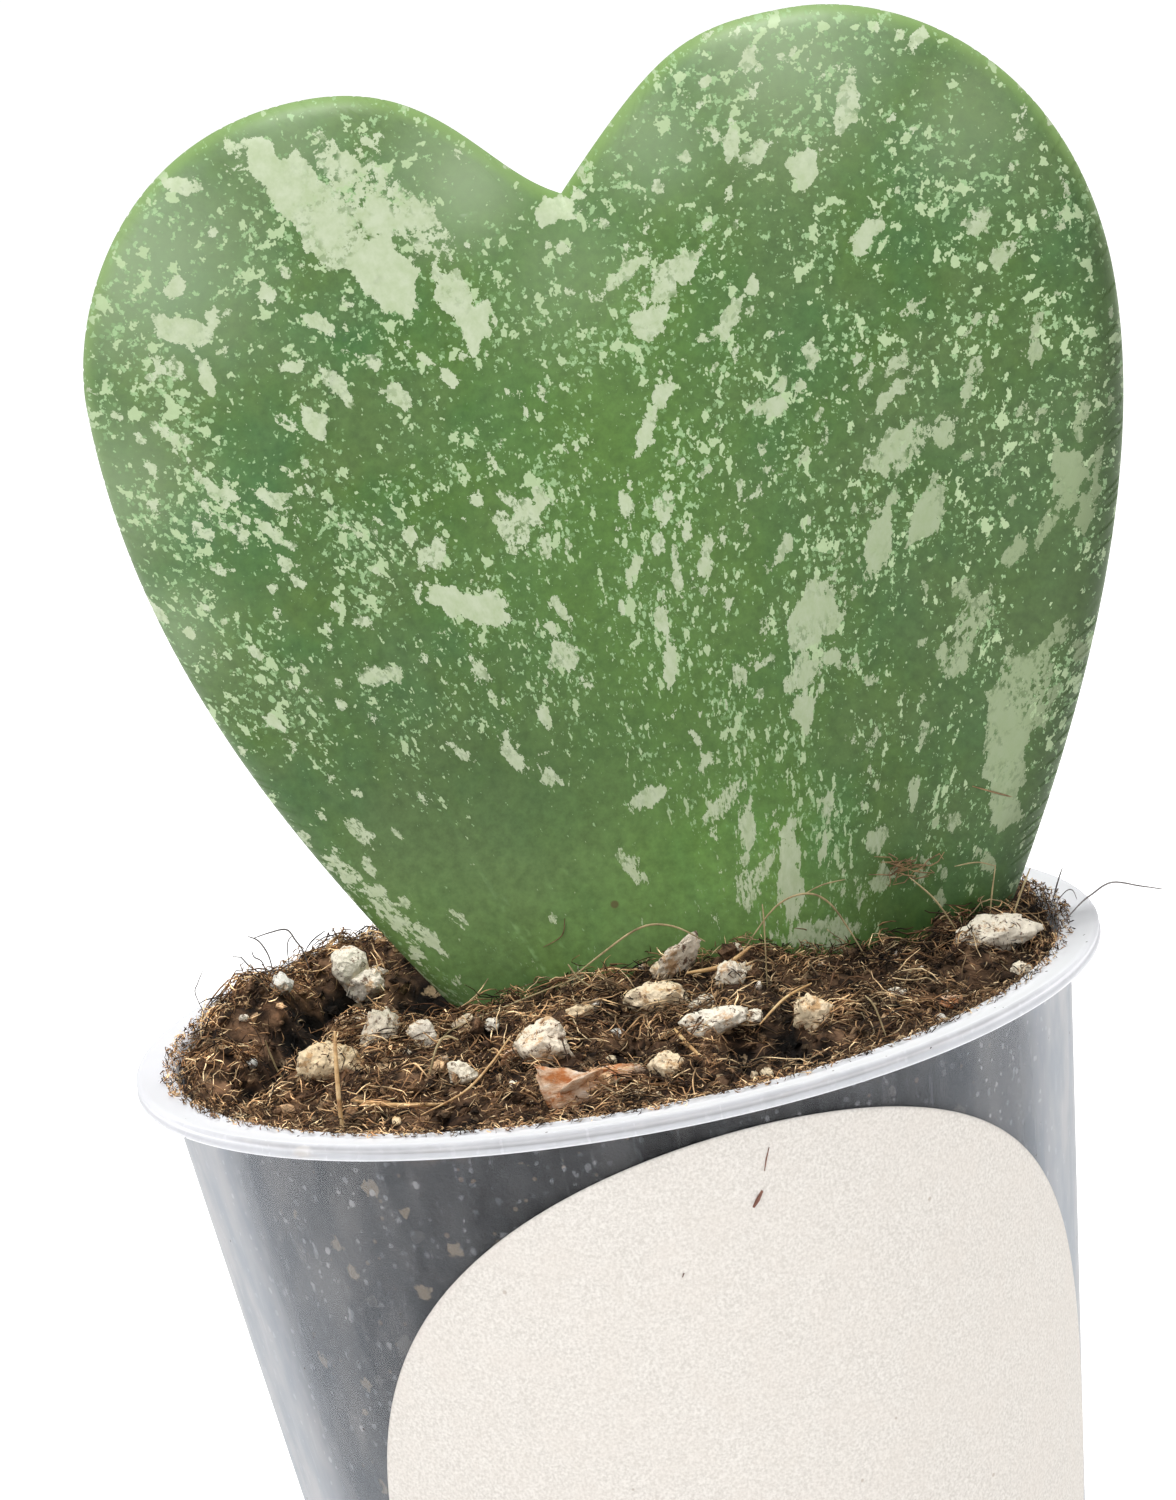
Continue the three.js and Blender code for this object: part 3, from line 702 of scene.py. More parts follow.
# Each fibre has its own brown, from wet bark to dry straw, which keeps the mat from looking like one brush.
husk, place = new_material("coir fibre")
tone = add("ValToRGB", add("NewGeometry", out="Random Per Island"),
           stops=["#22150e", "#402c1e", "#634831", "#896848", "#b08f69", "#dec59c"])
fine = add("TexNoise", place, 1 / (0.9 * MM), 1.0, 0.6)
for share in (add("MapRange", fine, 0.3, 0.7, 0.65, 1.25), damp_and_painted_shade(place)):
    tone = add("VectorMath", tone, share, operation="SCALE")
add("OutputMaterial", add("BsdfPrincipled", tone, Roughness=0.75, Specular_IOR_Level=0.3))
lines, thickness = tufts(count=330, each=12, spread=1.0, lengths=(1.4, 4.2), wander=0.35, reared=0.12, steps=6,
                         seed=72)
keep("coir_strands", openness(strands("coir_strands", lines, thickness)), husk)

# %% [markdown]
# Between the strands lies a finer fuzz, bits of husk a tenth of a millimetre thick and about a millimetre long. They
# are bent needles of twelve faces, strewn like the crumbs in two pieces. They lie more or less along the ground, and
# next to the pot along its wall.

# %% Coir fuzz
def needle(bend):
    """A bent needle along x, one unit long, with a three-sided section."""
    ends = [(-0.5, 0, 0), (0.5, 0, 0)]
    ring = [(0.5 * math.cos(a), 0.5 * math.sin(a)) for a in (0, 2.094, 4.189)]
    points = [ends[0]] + [(at, u, v + bend) for at in (-0.2, 0.2) for u, v in ring] + [ends[1]]
    faces = []
    for k in range(3):
        a, b, c, d = 1 + k, 1 + (k + 1) % 3, 4 + (k + 1) % 3, 4 + k
        faces += [(0, b, a), (a, b, c), (a, c, d), (7, d, c)]
    return np.array(points), np.array(faces)


def fuzz_batch(x, y, heading, draw, highest):
    """Needles at places of the mix."""
    count = len(x)
    places = on_mix(x, y, draw.uniform(0.0, 1.0, count) ** 1.5 * highest)
    sizes = np.column_stack([draw.uniform(0.4, 1.4, count), *[draw.uniform(0.05, 0.1, count)] * 2])
    turns = turns_of(heading, draw.normal(0, 0.5, count), draw.uniform(0, 6.3, count))
    return [needle(bend) for bend in np.linspace(0, 4.5, 8)], places, sizes, turns


ON_LIP = 3600
WALL_INSIDE = 31.0
LIP_WIDTH = 1.05
LIP_HEIGHT = 64.95
for name, (spread, at_wall, seed) in {"coir_fuzz": (16400, 0, 81), "coir_fuzz_fine": (7000, 2600, 82)}.items():
    draw = np.random.default_rng(seed)
    x, y = round_places(spread, draw, shun=0.97)
    batches = [fuzz_batch(x, y, draw.uniform(0, 6.3, len(x)), draw, 1.1)]
    if at_wall:
        angle = draw.uniform(0, 6.3, at_wall)
        away = draw.uniform(29.6, WALL_INSIDE, at_wall)
        batches.append(fuzz_batch(away * np.cos(angle), away * np.sin(angle), angle + 1.57, draw, 1.5))
        angle = draw.uniform(0, 6.3, ON_LIP)
        away = WALL_INSIDE + LIP_WIDTH * draw.uniform(0, 1, ON_LIP)
        heading = angle + draw.normal(1.57, 0.4, ON_LIP)
        on_lip = fuzz_batch(away * np.cos(angle), away * np.sin(angle), heading, draw, 0)
        on_lip[2][:, 0] *= 0.6
        on_lip[1][:, 2] = LIP_HEIGHT + draw.uniform(0, 0.3, ON_LIP)
        batches.append(on_lip)
    keep(name, openness(strewn(name, batches)), husk)

# %% [markdown]
# Perlite is volcanic glass popped like corn: cream and white lumps with a pitted, foamy skin, stained by the peat. The
# lumps that show from the front lie where they do on the real plant, and the rest are strewn. More of them press
# against the pot from inside, and show through its wall as pale spots.

# %% Perlite
NAMED_GRAINS = [  # x, y, length, depth, height, turn in degrees, how far it sticks out
    (-17.6, 15.3, 3.3, 3.2, 3.1, 0, 0), (-18, 2.4, 3.3, 2.4, 1.9, 8, 0.1), (-20, -12.6, 4, 3, 3.2, 15, 0.2),
    (-16.5, -5.6, 2.7, 2.6, 2.9, 20, 0.3), (-13.4, -9.6, 1.9, 2, 2.1, 60, 0.3), (-10.4, -7.4, 2, 1.2, 1, 5, 0.3),
    (-5.5, -17.6, 4.1, 3.4, 3.2, -15, 0.25), (-11.1, -19.4, 1.8, 1.5, 1.7, -30, 0.2),
    (-2.7, -12.6, 1.8, 1.5, 1.3, 0, 0.3), (-1.4, -10.6, 1, 1, 0.9, 0, 0.3), (2.8, -11.6, 4.3, 2.8, 2.5, 5, 0.25),
    (6.2, -19, 3.9, 2.6, 2.1, 12, 0.2), (2.4, -25.6, 1.9, 1.7, 1.8, 0, 0.45), (7.8, -11.2, 2.2, 1.2, 1.4, 25, 0.4),
    (12.7, -18.8, 2.7, 2.2, 2.5, -20, 0.2), (26.4, -6.4, 5.8, 2.4, 2.7, 10, 0.3), (27.4, -10.8, 1.3, 1.2, 1.2, 0, 0.3),
    (-26.6, -14.2, 1.4, 0.9, 0.7, -30, 0.4), (-0.3, -14.4, 0.8, 0.7, 0.6, 0, 0.4), (-1.1, -18, 0.7, 0.7, 0.6, 0, 0.4),
    (21.6, 3, 0.9, 0.8, 0.8, 0, 0.4), (3.2, -6.2, 1.3, 1, 1.3, -20, 0.5), (-22, -25, 1.2, 0.8, 0.7, -20, 0.6),
    (5.6, -12.4, 1.9, 1.6, 1.3, 30, 0.3), (8.6, -17.6, 1.7, 1.5, 1.2, -10, 0.25), (-8.6, -12.4, 1.1, 1, 1, 0, 0.4),
    (18.5, -15.5, 1.3, 1, 0.9, 0, 0.3)]


def named_batch():
    """The lumps of perlite that show from the front."""
    rows = np.array(NAMED_GRAINS)
    places = on_mix(rows[:, 0], rows[:, 1], rows[:, 4] * rows[:, 6])
    turns = turns_of(np.radians(rows[:, 5]), 0, 0)
    return [chunk(4, 30, 0.14, 80 + k) for k in range(len(rows))], places, 1.12 * rows[:, 2:5], turns


def shard_batch():
    """White shards that lean on the leaf or stand in the mix."""
    rows = np.array([(4.6, -6.0, 1.2, 3.1, 2.2, 1.0, 8, -45, -65), (8.2, -9.6, 0.9, 2.3, 1.2, 0.5, 0, -35, -70)])
    places = on_mix(*rows[:, :3].T)
    return [chunk(4, 8, 0.25, 60), chunk(4, 8, 0.25, 61)], places, rows[:, 3:6], turns_of(*np.radians(rows[:, 6:]).T)


# %% Strewn perlite
def strewn_batch(count, seed):
    """Smaller lumps anywhere, and larger ones behind the leaf."""
    draw = np.random.default_rng(seed)
    x, y = round_places(count, draw, 29.0)
    across = 0.5 + 2.9 * draw.uniform(0, 1, len(x)) ** 2.4
    across = np.where(y < 4, np.minimum(across, 0.8), across)
    sizes = across[:, None] * draw.uniform(0.65, 1.1, (len(x), 3))
    places = on_mix(x, y, 0.25 * across)
    return [chunk(3, 11, 0.12, seed + k) for k in range(7)], places, sizes, random_turns(len(x), draw)


def wall_batch(count, seed):
    """Flattened lumps that press against the pot's wall from inside."""
    draw = np.random.default_rng(seed)
    angle = draw.uniform(0, 2 * math.pi, count)
    height = draw.uniform(3, 62.5, count)
    across = 0.3 + 1.5 * draw.uniform(0, 1, count) ** 3.0
    # The first eight show in front, so their places are given one by one.
    angle[:8] = np.radians((-142.4, -134.6, -128.3, -131.5, -144.0, -121.5, -143.0, -34.2))
    height[:8] = (42.9, 46.5, 49.3, 52.4, 47.3, 57.5, 55.6, 57.7)
    across[:8] = (2.4, 1.0, 1.5, 1.8, 0.9, 1.2, 1.1, 1.0)
    bulge = np.minimum(0.3 * across, 0.6)
    radius = soil_radius(height) - 0.5 * bulge + 0.14
    places = np.column_stack([radius * np.cos(angle), radius * np.sin(angle), height])
    sizes = np.column_stack([across * draw.uniform(0.5, 1.3, count), across * draw.uniform(0.5, 1.0, count), bulge])
    return [chunk(3, 9, 0.25, seed + k) for k in range(6)], places, sizes, turns_of(angle, math.pi / 2, 0)


named = named_batch()
perlite_mesh = strewn("perlite_grains", [named, shard_batch(), strewn_batch(80, 300)])

# %% Perlite skin
foamy, place = new_material("expanded perlite")
# Each lump has its own white or cream. Peat stains it in blotches of 1.5 mm and fills its pits, 0.6 mm wide.
tone = add("ValToRGB", add("NewGeometry", out="Random Per Island"),
           stops=["#fff4dc", "#fffdf6", "#feeac6", "#fff8e8", "#f9dfb4", "#fffdf8"])
pocks = add("TexNoise", place, 1 / (0.6 * MM), 4.0, 0.75)
stain = add("TexNoise", place, 1 / (1.5 * MM), 5.0, 0.7)
for share, coat in ((add("MapRange", stain, 0.54, 0.62, 0.0, 0.75), "#c8965a"),
                    (add("MapRange", pocks, 0.43, 0.37, 0.0, 0.9), "#6b4a30")):
    tone = add("Mix", share, tone, coat, data_type="RGBA")
# Real foam bubbles are 0.1 mm. They are drawn five times as wide, so that the skin looks pitted from here.
froth = add("Math", pocks, add("TexVoronoi", place, 1 / (0.5 * MM)))
relief = add("Bump", Strength=0.8, Distance=0.3 * MM, Height=froth)
add("OutputMaterial", add("BsdfPrincipled", tone, Roughness=0.8, Normal=relief))
keep("perlite_grains", perlite_mesh, foamy)


# %% Husk on the perlite
def dusting(batch, each, seed):
    """Bits of husk that lie on the upper side of large lumps."""
    draw = np.random.default_rng(seed)
    spots = []
    for (points, _), middle, size, turn in zip(*batch):
        top = (points * size) @ turn.T
        top = top[top[:, 2] > 0.1 * size[2]]
        spots.append(middle + top[draw.integers(0, len(top), int(each * size[0] * size[1]))])
    spots = np.concatenate(spots)
    bits = fuzz_batch(spots[:, 0], spots[:, 1], draw.uniform(0, 6.3, len(spots)), draw, 0)
    bits[1][:, 2] = spots[:, 2]
    bits[2][:, 0] *= 0.7
    return bits


keep("coir_dusting", openness(strewn("coir_dusting", [dusting(named, 1.6, 87)])), husk)

# %% Damp perlite
# Lumps behind the wall are wet and stained, so they show as dull grey-browns.
damp_foam, place = new_material("damp perlite at the wall")
tone = add("ValToRGB", add("NewGeometry", out="Random Per Island"),
           stops=["#7d7168", "#433d38", "#595149", "#38322d", "#675d55", "#4a433d", "#96877a"])
mottle = add("MapRange", add("TexNoise", place, 1 / (0.6 * MM), 4.0, 0.6), 0.35, 0.65, 0.5, 1.2)
tone = add("VectorMath", tone, mottle, operation="SCALE")
add("OutputMaterial", add("BsdfPrincipled", tone, Roughness=0.9))
keep("wall_grains", strewn("wall_grains", [wall_batch(150, 320)]), damp_foam)

# %% [markdown]
# A few things in the mix are worth placing one by one: a torn piece of orange bark at the front, two straws, and the
# thin roots and hairs that arch in front of the leaf or stand out against the white behind the pot.

# %% Bark
# Pine bark: torn, layered and orange-brown. Its largest chip is the warmest spot in the mix and draws the eye.
BARK = [  # x, y, how far above the ground, length, width, thickness, yaw, pitch and roll in degrees
    (-4.4, -26.2, 1.1, 5.4, 3.4, 0.8, 180, -50, -70), (-2.8, -25.4, 0.7, 4.2, 2.2, 0.7, 20, -15, -40),
    (-7.3, -15.9, 0.6, 2.4, 1.6, 0.5, 30, -30, -60), (-1.2, -24.6, 0.3, 3.6, 2.2, 1.4, 10, 0, 0),
    (17, 12, 0.4, 6.5, 3, 1, 40, 5, 10), (-3, 24, 0.4, 7, 3.6, 1.1, 150, 5, -12),
    (22, -18, 0.2, 2.2, 1.4, 0.6, 50, 10, 20), (5, 20, 0.4, 4, 2.2, 0.9, 80, -10, 8)]


rows = np.array(BARK)
splinters = [splinter(40 + k) for k in range(len(BARK))]
bark_batch = (splinters, on_mix(*rows[:, :3].T), rows[:, 3:6], turns_of(*np.radians(rows[:, 6:]).T))
bark_skin, place = new_material("torn pine bark")
# Bark splits into layers, so the noise of 0.9 mm is drawn out along the piece. Rust-red patches are twice as wide.
layers = add("TexNoise", add("Mapping", place, Scale=(0.5, 1, 1.6)), 1 / (0.9 * MM), 6.0, 0.7)
tone = add("ValToRGB", add("MapRange", layers, 0.3, 0.7), stops=["#9a5c34", "#d3a077", "#efd0b2", "#fbeadb"])
rust = add("MapRange", add("TexNoise", place, 1 / (1.6 * MM), 4.0, 0.6), 0.53, 0.6, 0.0, 0.85)
tone = add("Mix", rust, tone, "#bf6f2c", data_type="RGBA")
relief = add("Bump", Strength=0.8, Distance=0.4 * MM, Height=layers)
add("OutputMaterial", add("BsdfPrincipled", tone, Roughness=0.7, Normal=relief))
keep("bark_chips", strewn("bark_chips", [bark_batch]), bark_skin)

# %% Straws, roots and hairs
STRAWS = [  # thickness, then points
    (0.34, [(-19.3, -22.6, 63.4), (-19.2, -22.6, 66.0), (-18.9, -22.5, 69.0), (-18.6, -22.5, 71.2)]),
    (0.36, [(-18.6, -18.0, 65.2), (-16.0, -20.6, 65.1), (-12.2, -22.0, 64.9)]),
    (0.3, [(3.4, -19.2, 66.5), (4.0, -21.4, 66.0), (4.8, -23.4, 65.4)]),
    (0.18, [(-14.0, -23.6, 64.9), (-11.0, -22.4, 65.6), (-9.0, -20.4, 66.6), (-7.4, -18.6, 67.8)]),
    (0.2, [(9.0, -20.0, 66.0), (11.0, -17.5, 66.8), (13.0, -15.6, 67.0)]),
    (0.34, [(5.0, -9.5, 67.6), (7.5, -10.4, 67.9), (9.5, -9.4, 68.6)])]
ROOTS = [
    (0.16, [(-3.7, -7.5, 67.6), (-0.6, -7.5, 69.4), (2.4, -7.5, 70.8), (4.6, -7.5, 70.5), (6.6, -7.3, 69.0)]),
    (0.13, [(-12.4, -9.0, 65.5), (-11.4, -9.0, 66.4), (-6.5, -9.0, 67.6), (-1.8, -9.0, 68.6)]),
    (0.15, [(-2.9, -8.5, 69.4), (-2.3, -8.5, 68.2), (-1.3, -8.5, 67.3)]),
    (0.16, [(9.0, -6.5, 67.6), (11.7, -6.5, 70.3), (13.9, -6.5, 70.9), (15.4, -6.5, 70.0), (16.5, -6.5, 67.8),
            (17.3, -6.5, 65.7)]),
    (0.1, [(13.9, -6.5, 70.9), (15.2, -6.5, 71.3), (16.8, -6.5, 71.4)]),
    (0.14, [(21.2, -5.5, 70.5), (22.7, -5.5, 68.6), (23.9, -5.5, 66.0)]),
    (0.12, [(27.2, -5.0, 70.2), (26.6, -5.0, 68.1), (26.0, -5.0, 65.6)]),
    (0.1, [(24.4, -5.0, 70.6), (26.0, -5.0, 70.6), (27.2, -5.0, 70.1)]),
    (0.14, [(29.6, -4.0, 69.3), (28.8, -4.0, 67.9), (27.6, -4.2, 65.6)]),
    (0.13, [(-24.2, -7.2, 67.5), (-24.0, -7.0, 66.2), (-23.5, -7.0, 64.6), (-22.0, -7.2, 63.5)]),
    (0.17, [(-13.1, -20.2, 66.6), (-12.3, -20.0, 68.3), (-11.6, -20.0, 68.9), (-10.8, -20.2, 68.6)]),
    (0.12, [(10.1, -13.0, 66.5), (10.6, -13.0, 70.9), (10.7, -13.0, 72.3)]),
    (0.13, [(16.0, -24.0, 67.8), (16.5, -24.2, 67.0), (16.9, -24.4, 65.0)])]
HAIRS = [
    (0.13, [(31.0, -4.2, 64.9), (32.5, -4.0, 66.1), (33.5, -4.0, 66.7), (35.0, -4.0, 67.3), (36.9, -4.0, 66.7),
            (38.4, -4.0, 66.2)]),
    (0.12, [(31.0, 2.0, 64.6), (31.5, 2.0, 65.7), (31.9, 2.0, 66.6), (32.3, 2.0, 67.4)]),
    (0.08, [(31.2, 0.0, 65.4), (32.1, 0.0, 66.2), (32.6, 0.0, 66.2), (32.8, 0.0, 65.5)]),
    (0.12, [(-24.0, 12.0, 67.0), (-24.1, 12.0, 68.6), (-24.6, 12.0, 69.8), (-25.3, 12.0, 70.3)]),
    (0.13, [(-21.4, 12.0, 67.0), (-21.6, 12.0, 68.5), (-22.0, 12.0, 69.4), (-22.5, 12.0, 70.3), (-23.7, 12.0, 70.3),
            (-24.9, 12.0, 70.1)]),
    (0.09, [(-22.8, 12.0, 67.4), (-22.7, 12.0, 68.8), (-22.5, 12.0, 69.5), (-22.1, 12.0, 69.8)]),
    (0.1, [(-24.3, 10.0, 67.2), (-24.5, 10.0, 68.7), (-25.0, 10.0, 69.2), (-25.1, 10.0, 69.7)]),
    (0.08, [(-28.4, 2.0, 67.0), (-29.0, 2.0, 69.2), (-28.7, 2.0, 70.0), (-28.2, 2.0, 70.8)])]


def eased(points, steps=6):
    """A smooth line through a few points."""
    p = np.array([points[0], *points, points[-1]], dtype=float)
    t = np.linspace(0, 1, steps, endpoint=False)[:, None]
    runs = [0.5 * (2 * b + (c - a) * t + (2 * a - 5 * b + 4 * c - d) * t ** 2 + (3 * b - a - 3 * c + d) * t ** 3)
            for a, b, c, d in zip(p, p[1:], p[2:], p[3:])]
    return np.concatenate(runs + [p[-1:]])


def dry_stem(name, codes, roughness):
    """The surface of a dry root, straw or hair."""
    made, place = new_material(name)
    grain = add("MapRange", add("TexNoise", place, 1 / MM, 4.0, 0.6), 0.3, 0.7)
    add("OutputMaterial", add("BsdfPrincipled", add("ValToRGB", grain, stops=codes), Roughness=roughness))
    return made


stem_kinds = {"straws": (STRAWS, ["#9a6c42", "#d2aa74", "#ebcf9f"], 0.5),
              "thin_roots": (ROOTS, ["#7a6a4a", "#b09c72", "#cdbb92"], 0.6),
              "stray_hairs": (HAIRS, ["#4a4444", "#6f6868", "#8b8584"], 0.5)}
for name, (stems, codes, roughness) in stem_kinds.items():
    stem_mesh = strands(name, [eased(points) for _, points in stems], [thick for thick, _ in stems], 6)
    keep(name, stem_mesh, dry_stem(name.replace("_", " "), codes, roughness))

# %% [markdown]
# The leaf's outline is six curves: up the left side, over the left lobe, into the notch, and the same again on the
# right. The midrib runs straight from the buried foot to the notch. A sphere already has two poles and rings between
# them, so its poles become the foot and the notch, each ring a loop round the leaf at one station of the midrib, and
# its corners slide into place. The rings then run out to the edge much as the side veins do.

# %% Leaf outline
LEAF_FOOT = np.array([8.4, 36.0])
NOTCH = LEAF_FOOT + (-2.7, 84.2)


def bezier(start, pull, push, end):
    """Points along one cubic curve."""
    t = np.linspace(0, 1, 160)[:, None]
    corners = [np.array(p, dtype=float) for p in (start, pull, push, end)]
    return sum(k * (1 - t) ** (3 - i) * t ** i * p for i, (k, p) in enumerate(zip((1, 3, 3, 1), corners)))


def joined(curves):
    """Curves end to end, from the foot, in the frame's place."""
    return np.concatenate([bezier(*curve)[:-1] for curve in curves] + [np.array([curves[-1][3]])]) + LEAF_FOOT


left_edge = joined([((0, 0), (-15, 25.5), (-37, 46.5), (-37, 75.5)),
                    ((-37, 75.5), (-37, 81.5), (-32, 93.5), (-18.5, 93.5)),
                    ((-18.5, 93.5), (-9.5, 93.5), (-7.5, 86.5), (-2.7, 84.2))])
right_edge = joined([((0, 0), (13, 17.5), (33.5, 47.5), (33.5, 71.5)),
                     ((33.5, 71.5), (33.5, 86.5), (23, 94), (14.5, 94)),
                     ((14.5, 94), (7, 94), (5, 92.5), (-2.7, 84.2))])
whole_edge = np.concatenate([left_edge[::6], right_edge[::-6]])


def at_share(line, share):
    """The point at each share of a line's length."""
    step = np.hypot(*np.diff(line, axis=0).T)
    run = np.concatenate([[0], np.cumsum(step)])
    return np.column_stack([np.interp(share * run[-1], run, line[:, k]) for k in (0, 1)])


print("edge lengths:", [round(float(np.hypot(*np.diff(e, axis=0).T).sum())) for e in (left_edge, right_edge)], "mm")

# %% Leaf stations
ROWS = 326
BURIED_ROWS = 14
BURIED_SHARE = 0.27
FRONT_COLUMNS = 117
EDGE_COLUMNS = 5
BACK_COLUMNS = 12
EDGE_RADIUS = 1.7

share = np.concatenate([np.linspace(0, BURIED_SHARE, BURIED_ROWS, endpoint=False),
                        np.linspace(BURIED_SHARE, 1, ROWS + 1 - BURIED_ROWS)])
midrib = LEAF_FOOT + share[:, None] * (NOTCH - LEAF_FOOT)


def half_loop(edge_line):
    """Where the rings of one half of the leaf run: places, and +1 on the back or -1 on the front."""
    rim = at_share(edge_line, share)
    tangent = at_share(edge_line, np.minimum(share + 0.002, 1)) - at_share(edge_line, np.maximum(share - 0.002, 0))
    tangent /= np.hypot(*tangent.T)[:, None]
    out_way = rim - midrib
    reach = np.hypot(*out_way.T)
    out_way = out_way / np.maximum(reach, 1e-9)[:, None]
    slant = np.abs(out_way[:, 0] * tangent[:, 1] - out_way[:, 1] * tangent[:, 0])
    round_part = np.minimum(EDGE_RADIUS / np.maximum(slant, 0.2), 0.45 * reach)
    front = np.linspace(0, 1, FRONT_COLUMNS, endpoint=False)[None, :] * (reach - round_part)[:, None]
    back = np.linspace(1, 0, BACK_COLUMNS + 1)[None, 1:] * (reach - round_part)[:, None]
    bow = np.linspace(0, math.pi, 2 * EDGE_COLUMNS + 1)
    bend = reach[:, None] - round_part[:, None] * (1 - np.sin(bow))[None, :]
    runs = np.concatenate([front, bend, back[:, :-1]], axis=1)
    sides = np.concatenate([-np.ones(FRONT_COLUMNS), -np.sign(np.round(np.cos(bow), 6)), np.ones(BACK_COLUMNS - 1)])
    places = midrib[:, None, :] + runs[:, :, None] * out_way[:, None, :]
    return places, sides


left_places, left_sides = half_loop(left_edge)
right_places, right_sides = half_loop(right_edge)
back_rib = midrib[:, None, :]
loop_places = np.concatenate([left_places, back_rib, right_places[:, :0:-1]], axis=1)
loop_sides = np.concatenate([left_sides, [1.0], right_sides[:0:-1]])
print("leaf rings:", loop_places.shape[0], "with", loop_places.shape[1], "points each")

# %% [markdown]
# A succulent leaf stores water, so it is thick: 3.4 mm at its round edge and a little more inside. Its margin rolls
# back slightly, and a shallow groove follows the midrib on the face and stands out as a rib behind. All of this only
# needs each point's distance from the edge and from the midrib.

# %% Leaf relief
BELLY = 0.4
BELLY_REACH = 9.0
CURL = 1.6
CURL_REACH = 11.0
GROOVE = 0.9
GROOVE_REACH = 4.5


def edge_distance(places):
    """How far each point lies from the leaf's edge."""
    far = np.full(len(places), np.inf)
    for a, b in zip(whole_edge, np.roll(whole_edge, -1, axis=0)):
        run = b - a
        square = run @ run
        if square < 1e-12:
            continue
        t = np.clip(((places - a) @ run) / square, 0, 1)
        gap = places - a - t[:, None] * run
        far = np.minimum(far, gap[:, 0] ** 2 + gap[:, 1] ** 2)
    return np.sqrt(far)


def rib_distance(places):
    """How far each point lies to the right of the midrib."""
    along = (NOTCH - LEAF_FOOT) / np.hypot(*(NOTCH - LEAF_FOOT))
    out = places - LEAF_FOOT
    return out[..., 0] * along[1] - out[..., 1] * along[0]


flat_places = loop_places.reshape(-1, 2)
side = np.tile(loop_sides, len(share))
depth = edge_distance(flat_places)
depth[side == 0] = 0
beside = rib_distance(flat_places)
roundness = np.clip(1 - depth / EDGE_RADIUS, 0, 1)
half_thickness = EDGE_RADIUS * np.sqrt(1 - roundness ** 2) + BELLY * (1 - np.exp(-depth / BELLY_REACH))
curl = CURL * (np.clip(1 - depth / CURL_REACH, 0, 1) ** 2 - 1)
groove = GROOVE * np.exp(-((beside / GROOVE_REACH) ** 2))
ripple = 0.18 * lumps(flat_places[:, 0], flat_places[:, 1] - 80, 9.0, 31) * np.minimum(depth / 4, 1)
leaf_y = curl + groove + ripple + side * half_thickness
print("leaf from front to back:", round(float(leaf_y.min()), 1), "to", round(float(leaf_y.max()), 1), "mm")

# %% Leaf blade
leaf_bm = bmesh.new()
bmesh.ops.create_uvsphere(leaf_bm, u_segments=loop_places.shape[1], v_segments=ROWS, radius=1)
leaf_mesh = mesh_from(leaf_bm, "leaf_blade")
ball = points_of(leaf_mesh)
row = np.rint(ROWS * (1 - np.arccos(np.clip(ball[:, 2], -1, 1)) / math.pi)).astype(int)
column = np.rint(np.arctan2(ball[:, 1], ball[:, 0]) / (2 * math.pi) * loop_places.shape[1]).astype(int)
column = column % loop_places.shape[1]
pick = row * loop_places.shape[1] + column
leaf_places = np.column_stack([flat_places[pick, 0], leaf_y[pick], flat_places[pick, 1]])
move_points(leaf_mesh, leaf_places)
x = leaf_places[:, 0]
z = leaf_places[:, 2]
on_face = side[pick] <= 0
rib_beside = beside[pick]
edge_depth = depth[pick]
print("leaf vertices:", len(leaf_mesh.vertices))

# %% [markdown]
# This leaf is waxy and semi-gloss, deep green flesh under a thin bloom, and silver where air lies under its skin. The
# spots run with the veins, fan out from the midrib and come in every size, from dust to patches a centimetre long.
# Each vertex keeps how far inside a spot it lies, in millimetres. The largest spots are listed where this leaf has
# them, and a seeded draw adds hundreds of middling ones, with corners rather than round. The material later cuts that
# field at zero and frays it with noise, so the edges stay sharp however close the camera comes.

# %% Vein direction
def lean_at(x, z):
    """How far spots lean from upright, in radians: to the left on the left half, to the right on the right."""
    beside = rib_distance(np.stack([x, z], axis=-1))
    left_lean = -0.75 * (1 - np.exp(np.minimum(beside, 0) / 7))
    upper = np.clip((np.asarray(z) - 74) / 34, 0, 1)
    right_lean = (0.3 + 0.5 * upper) * (1 - np.exp(-np.maximum(beside, 0) / 8))
    return left_lean + right_lean


print("lean of a spot on the left lobe:", round(math.degrees(lean_at(-15.0, 110.0))), "degrees")
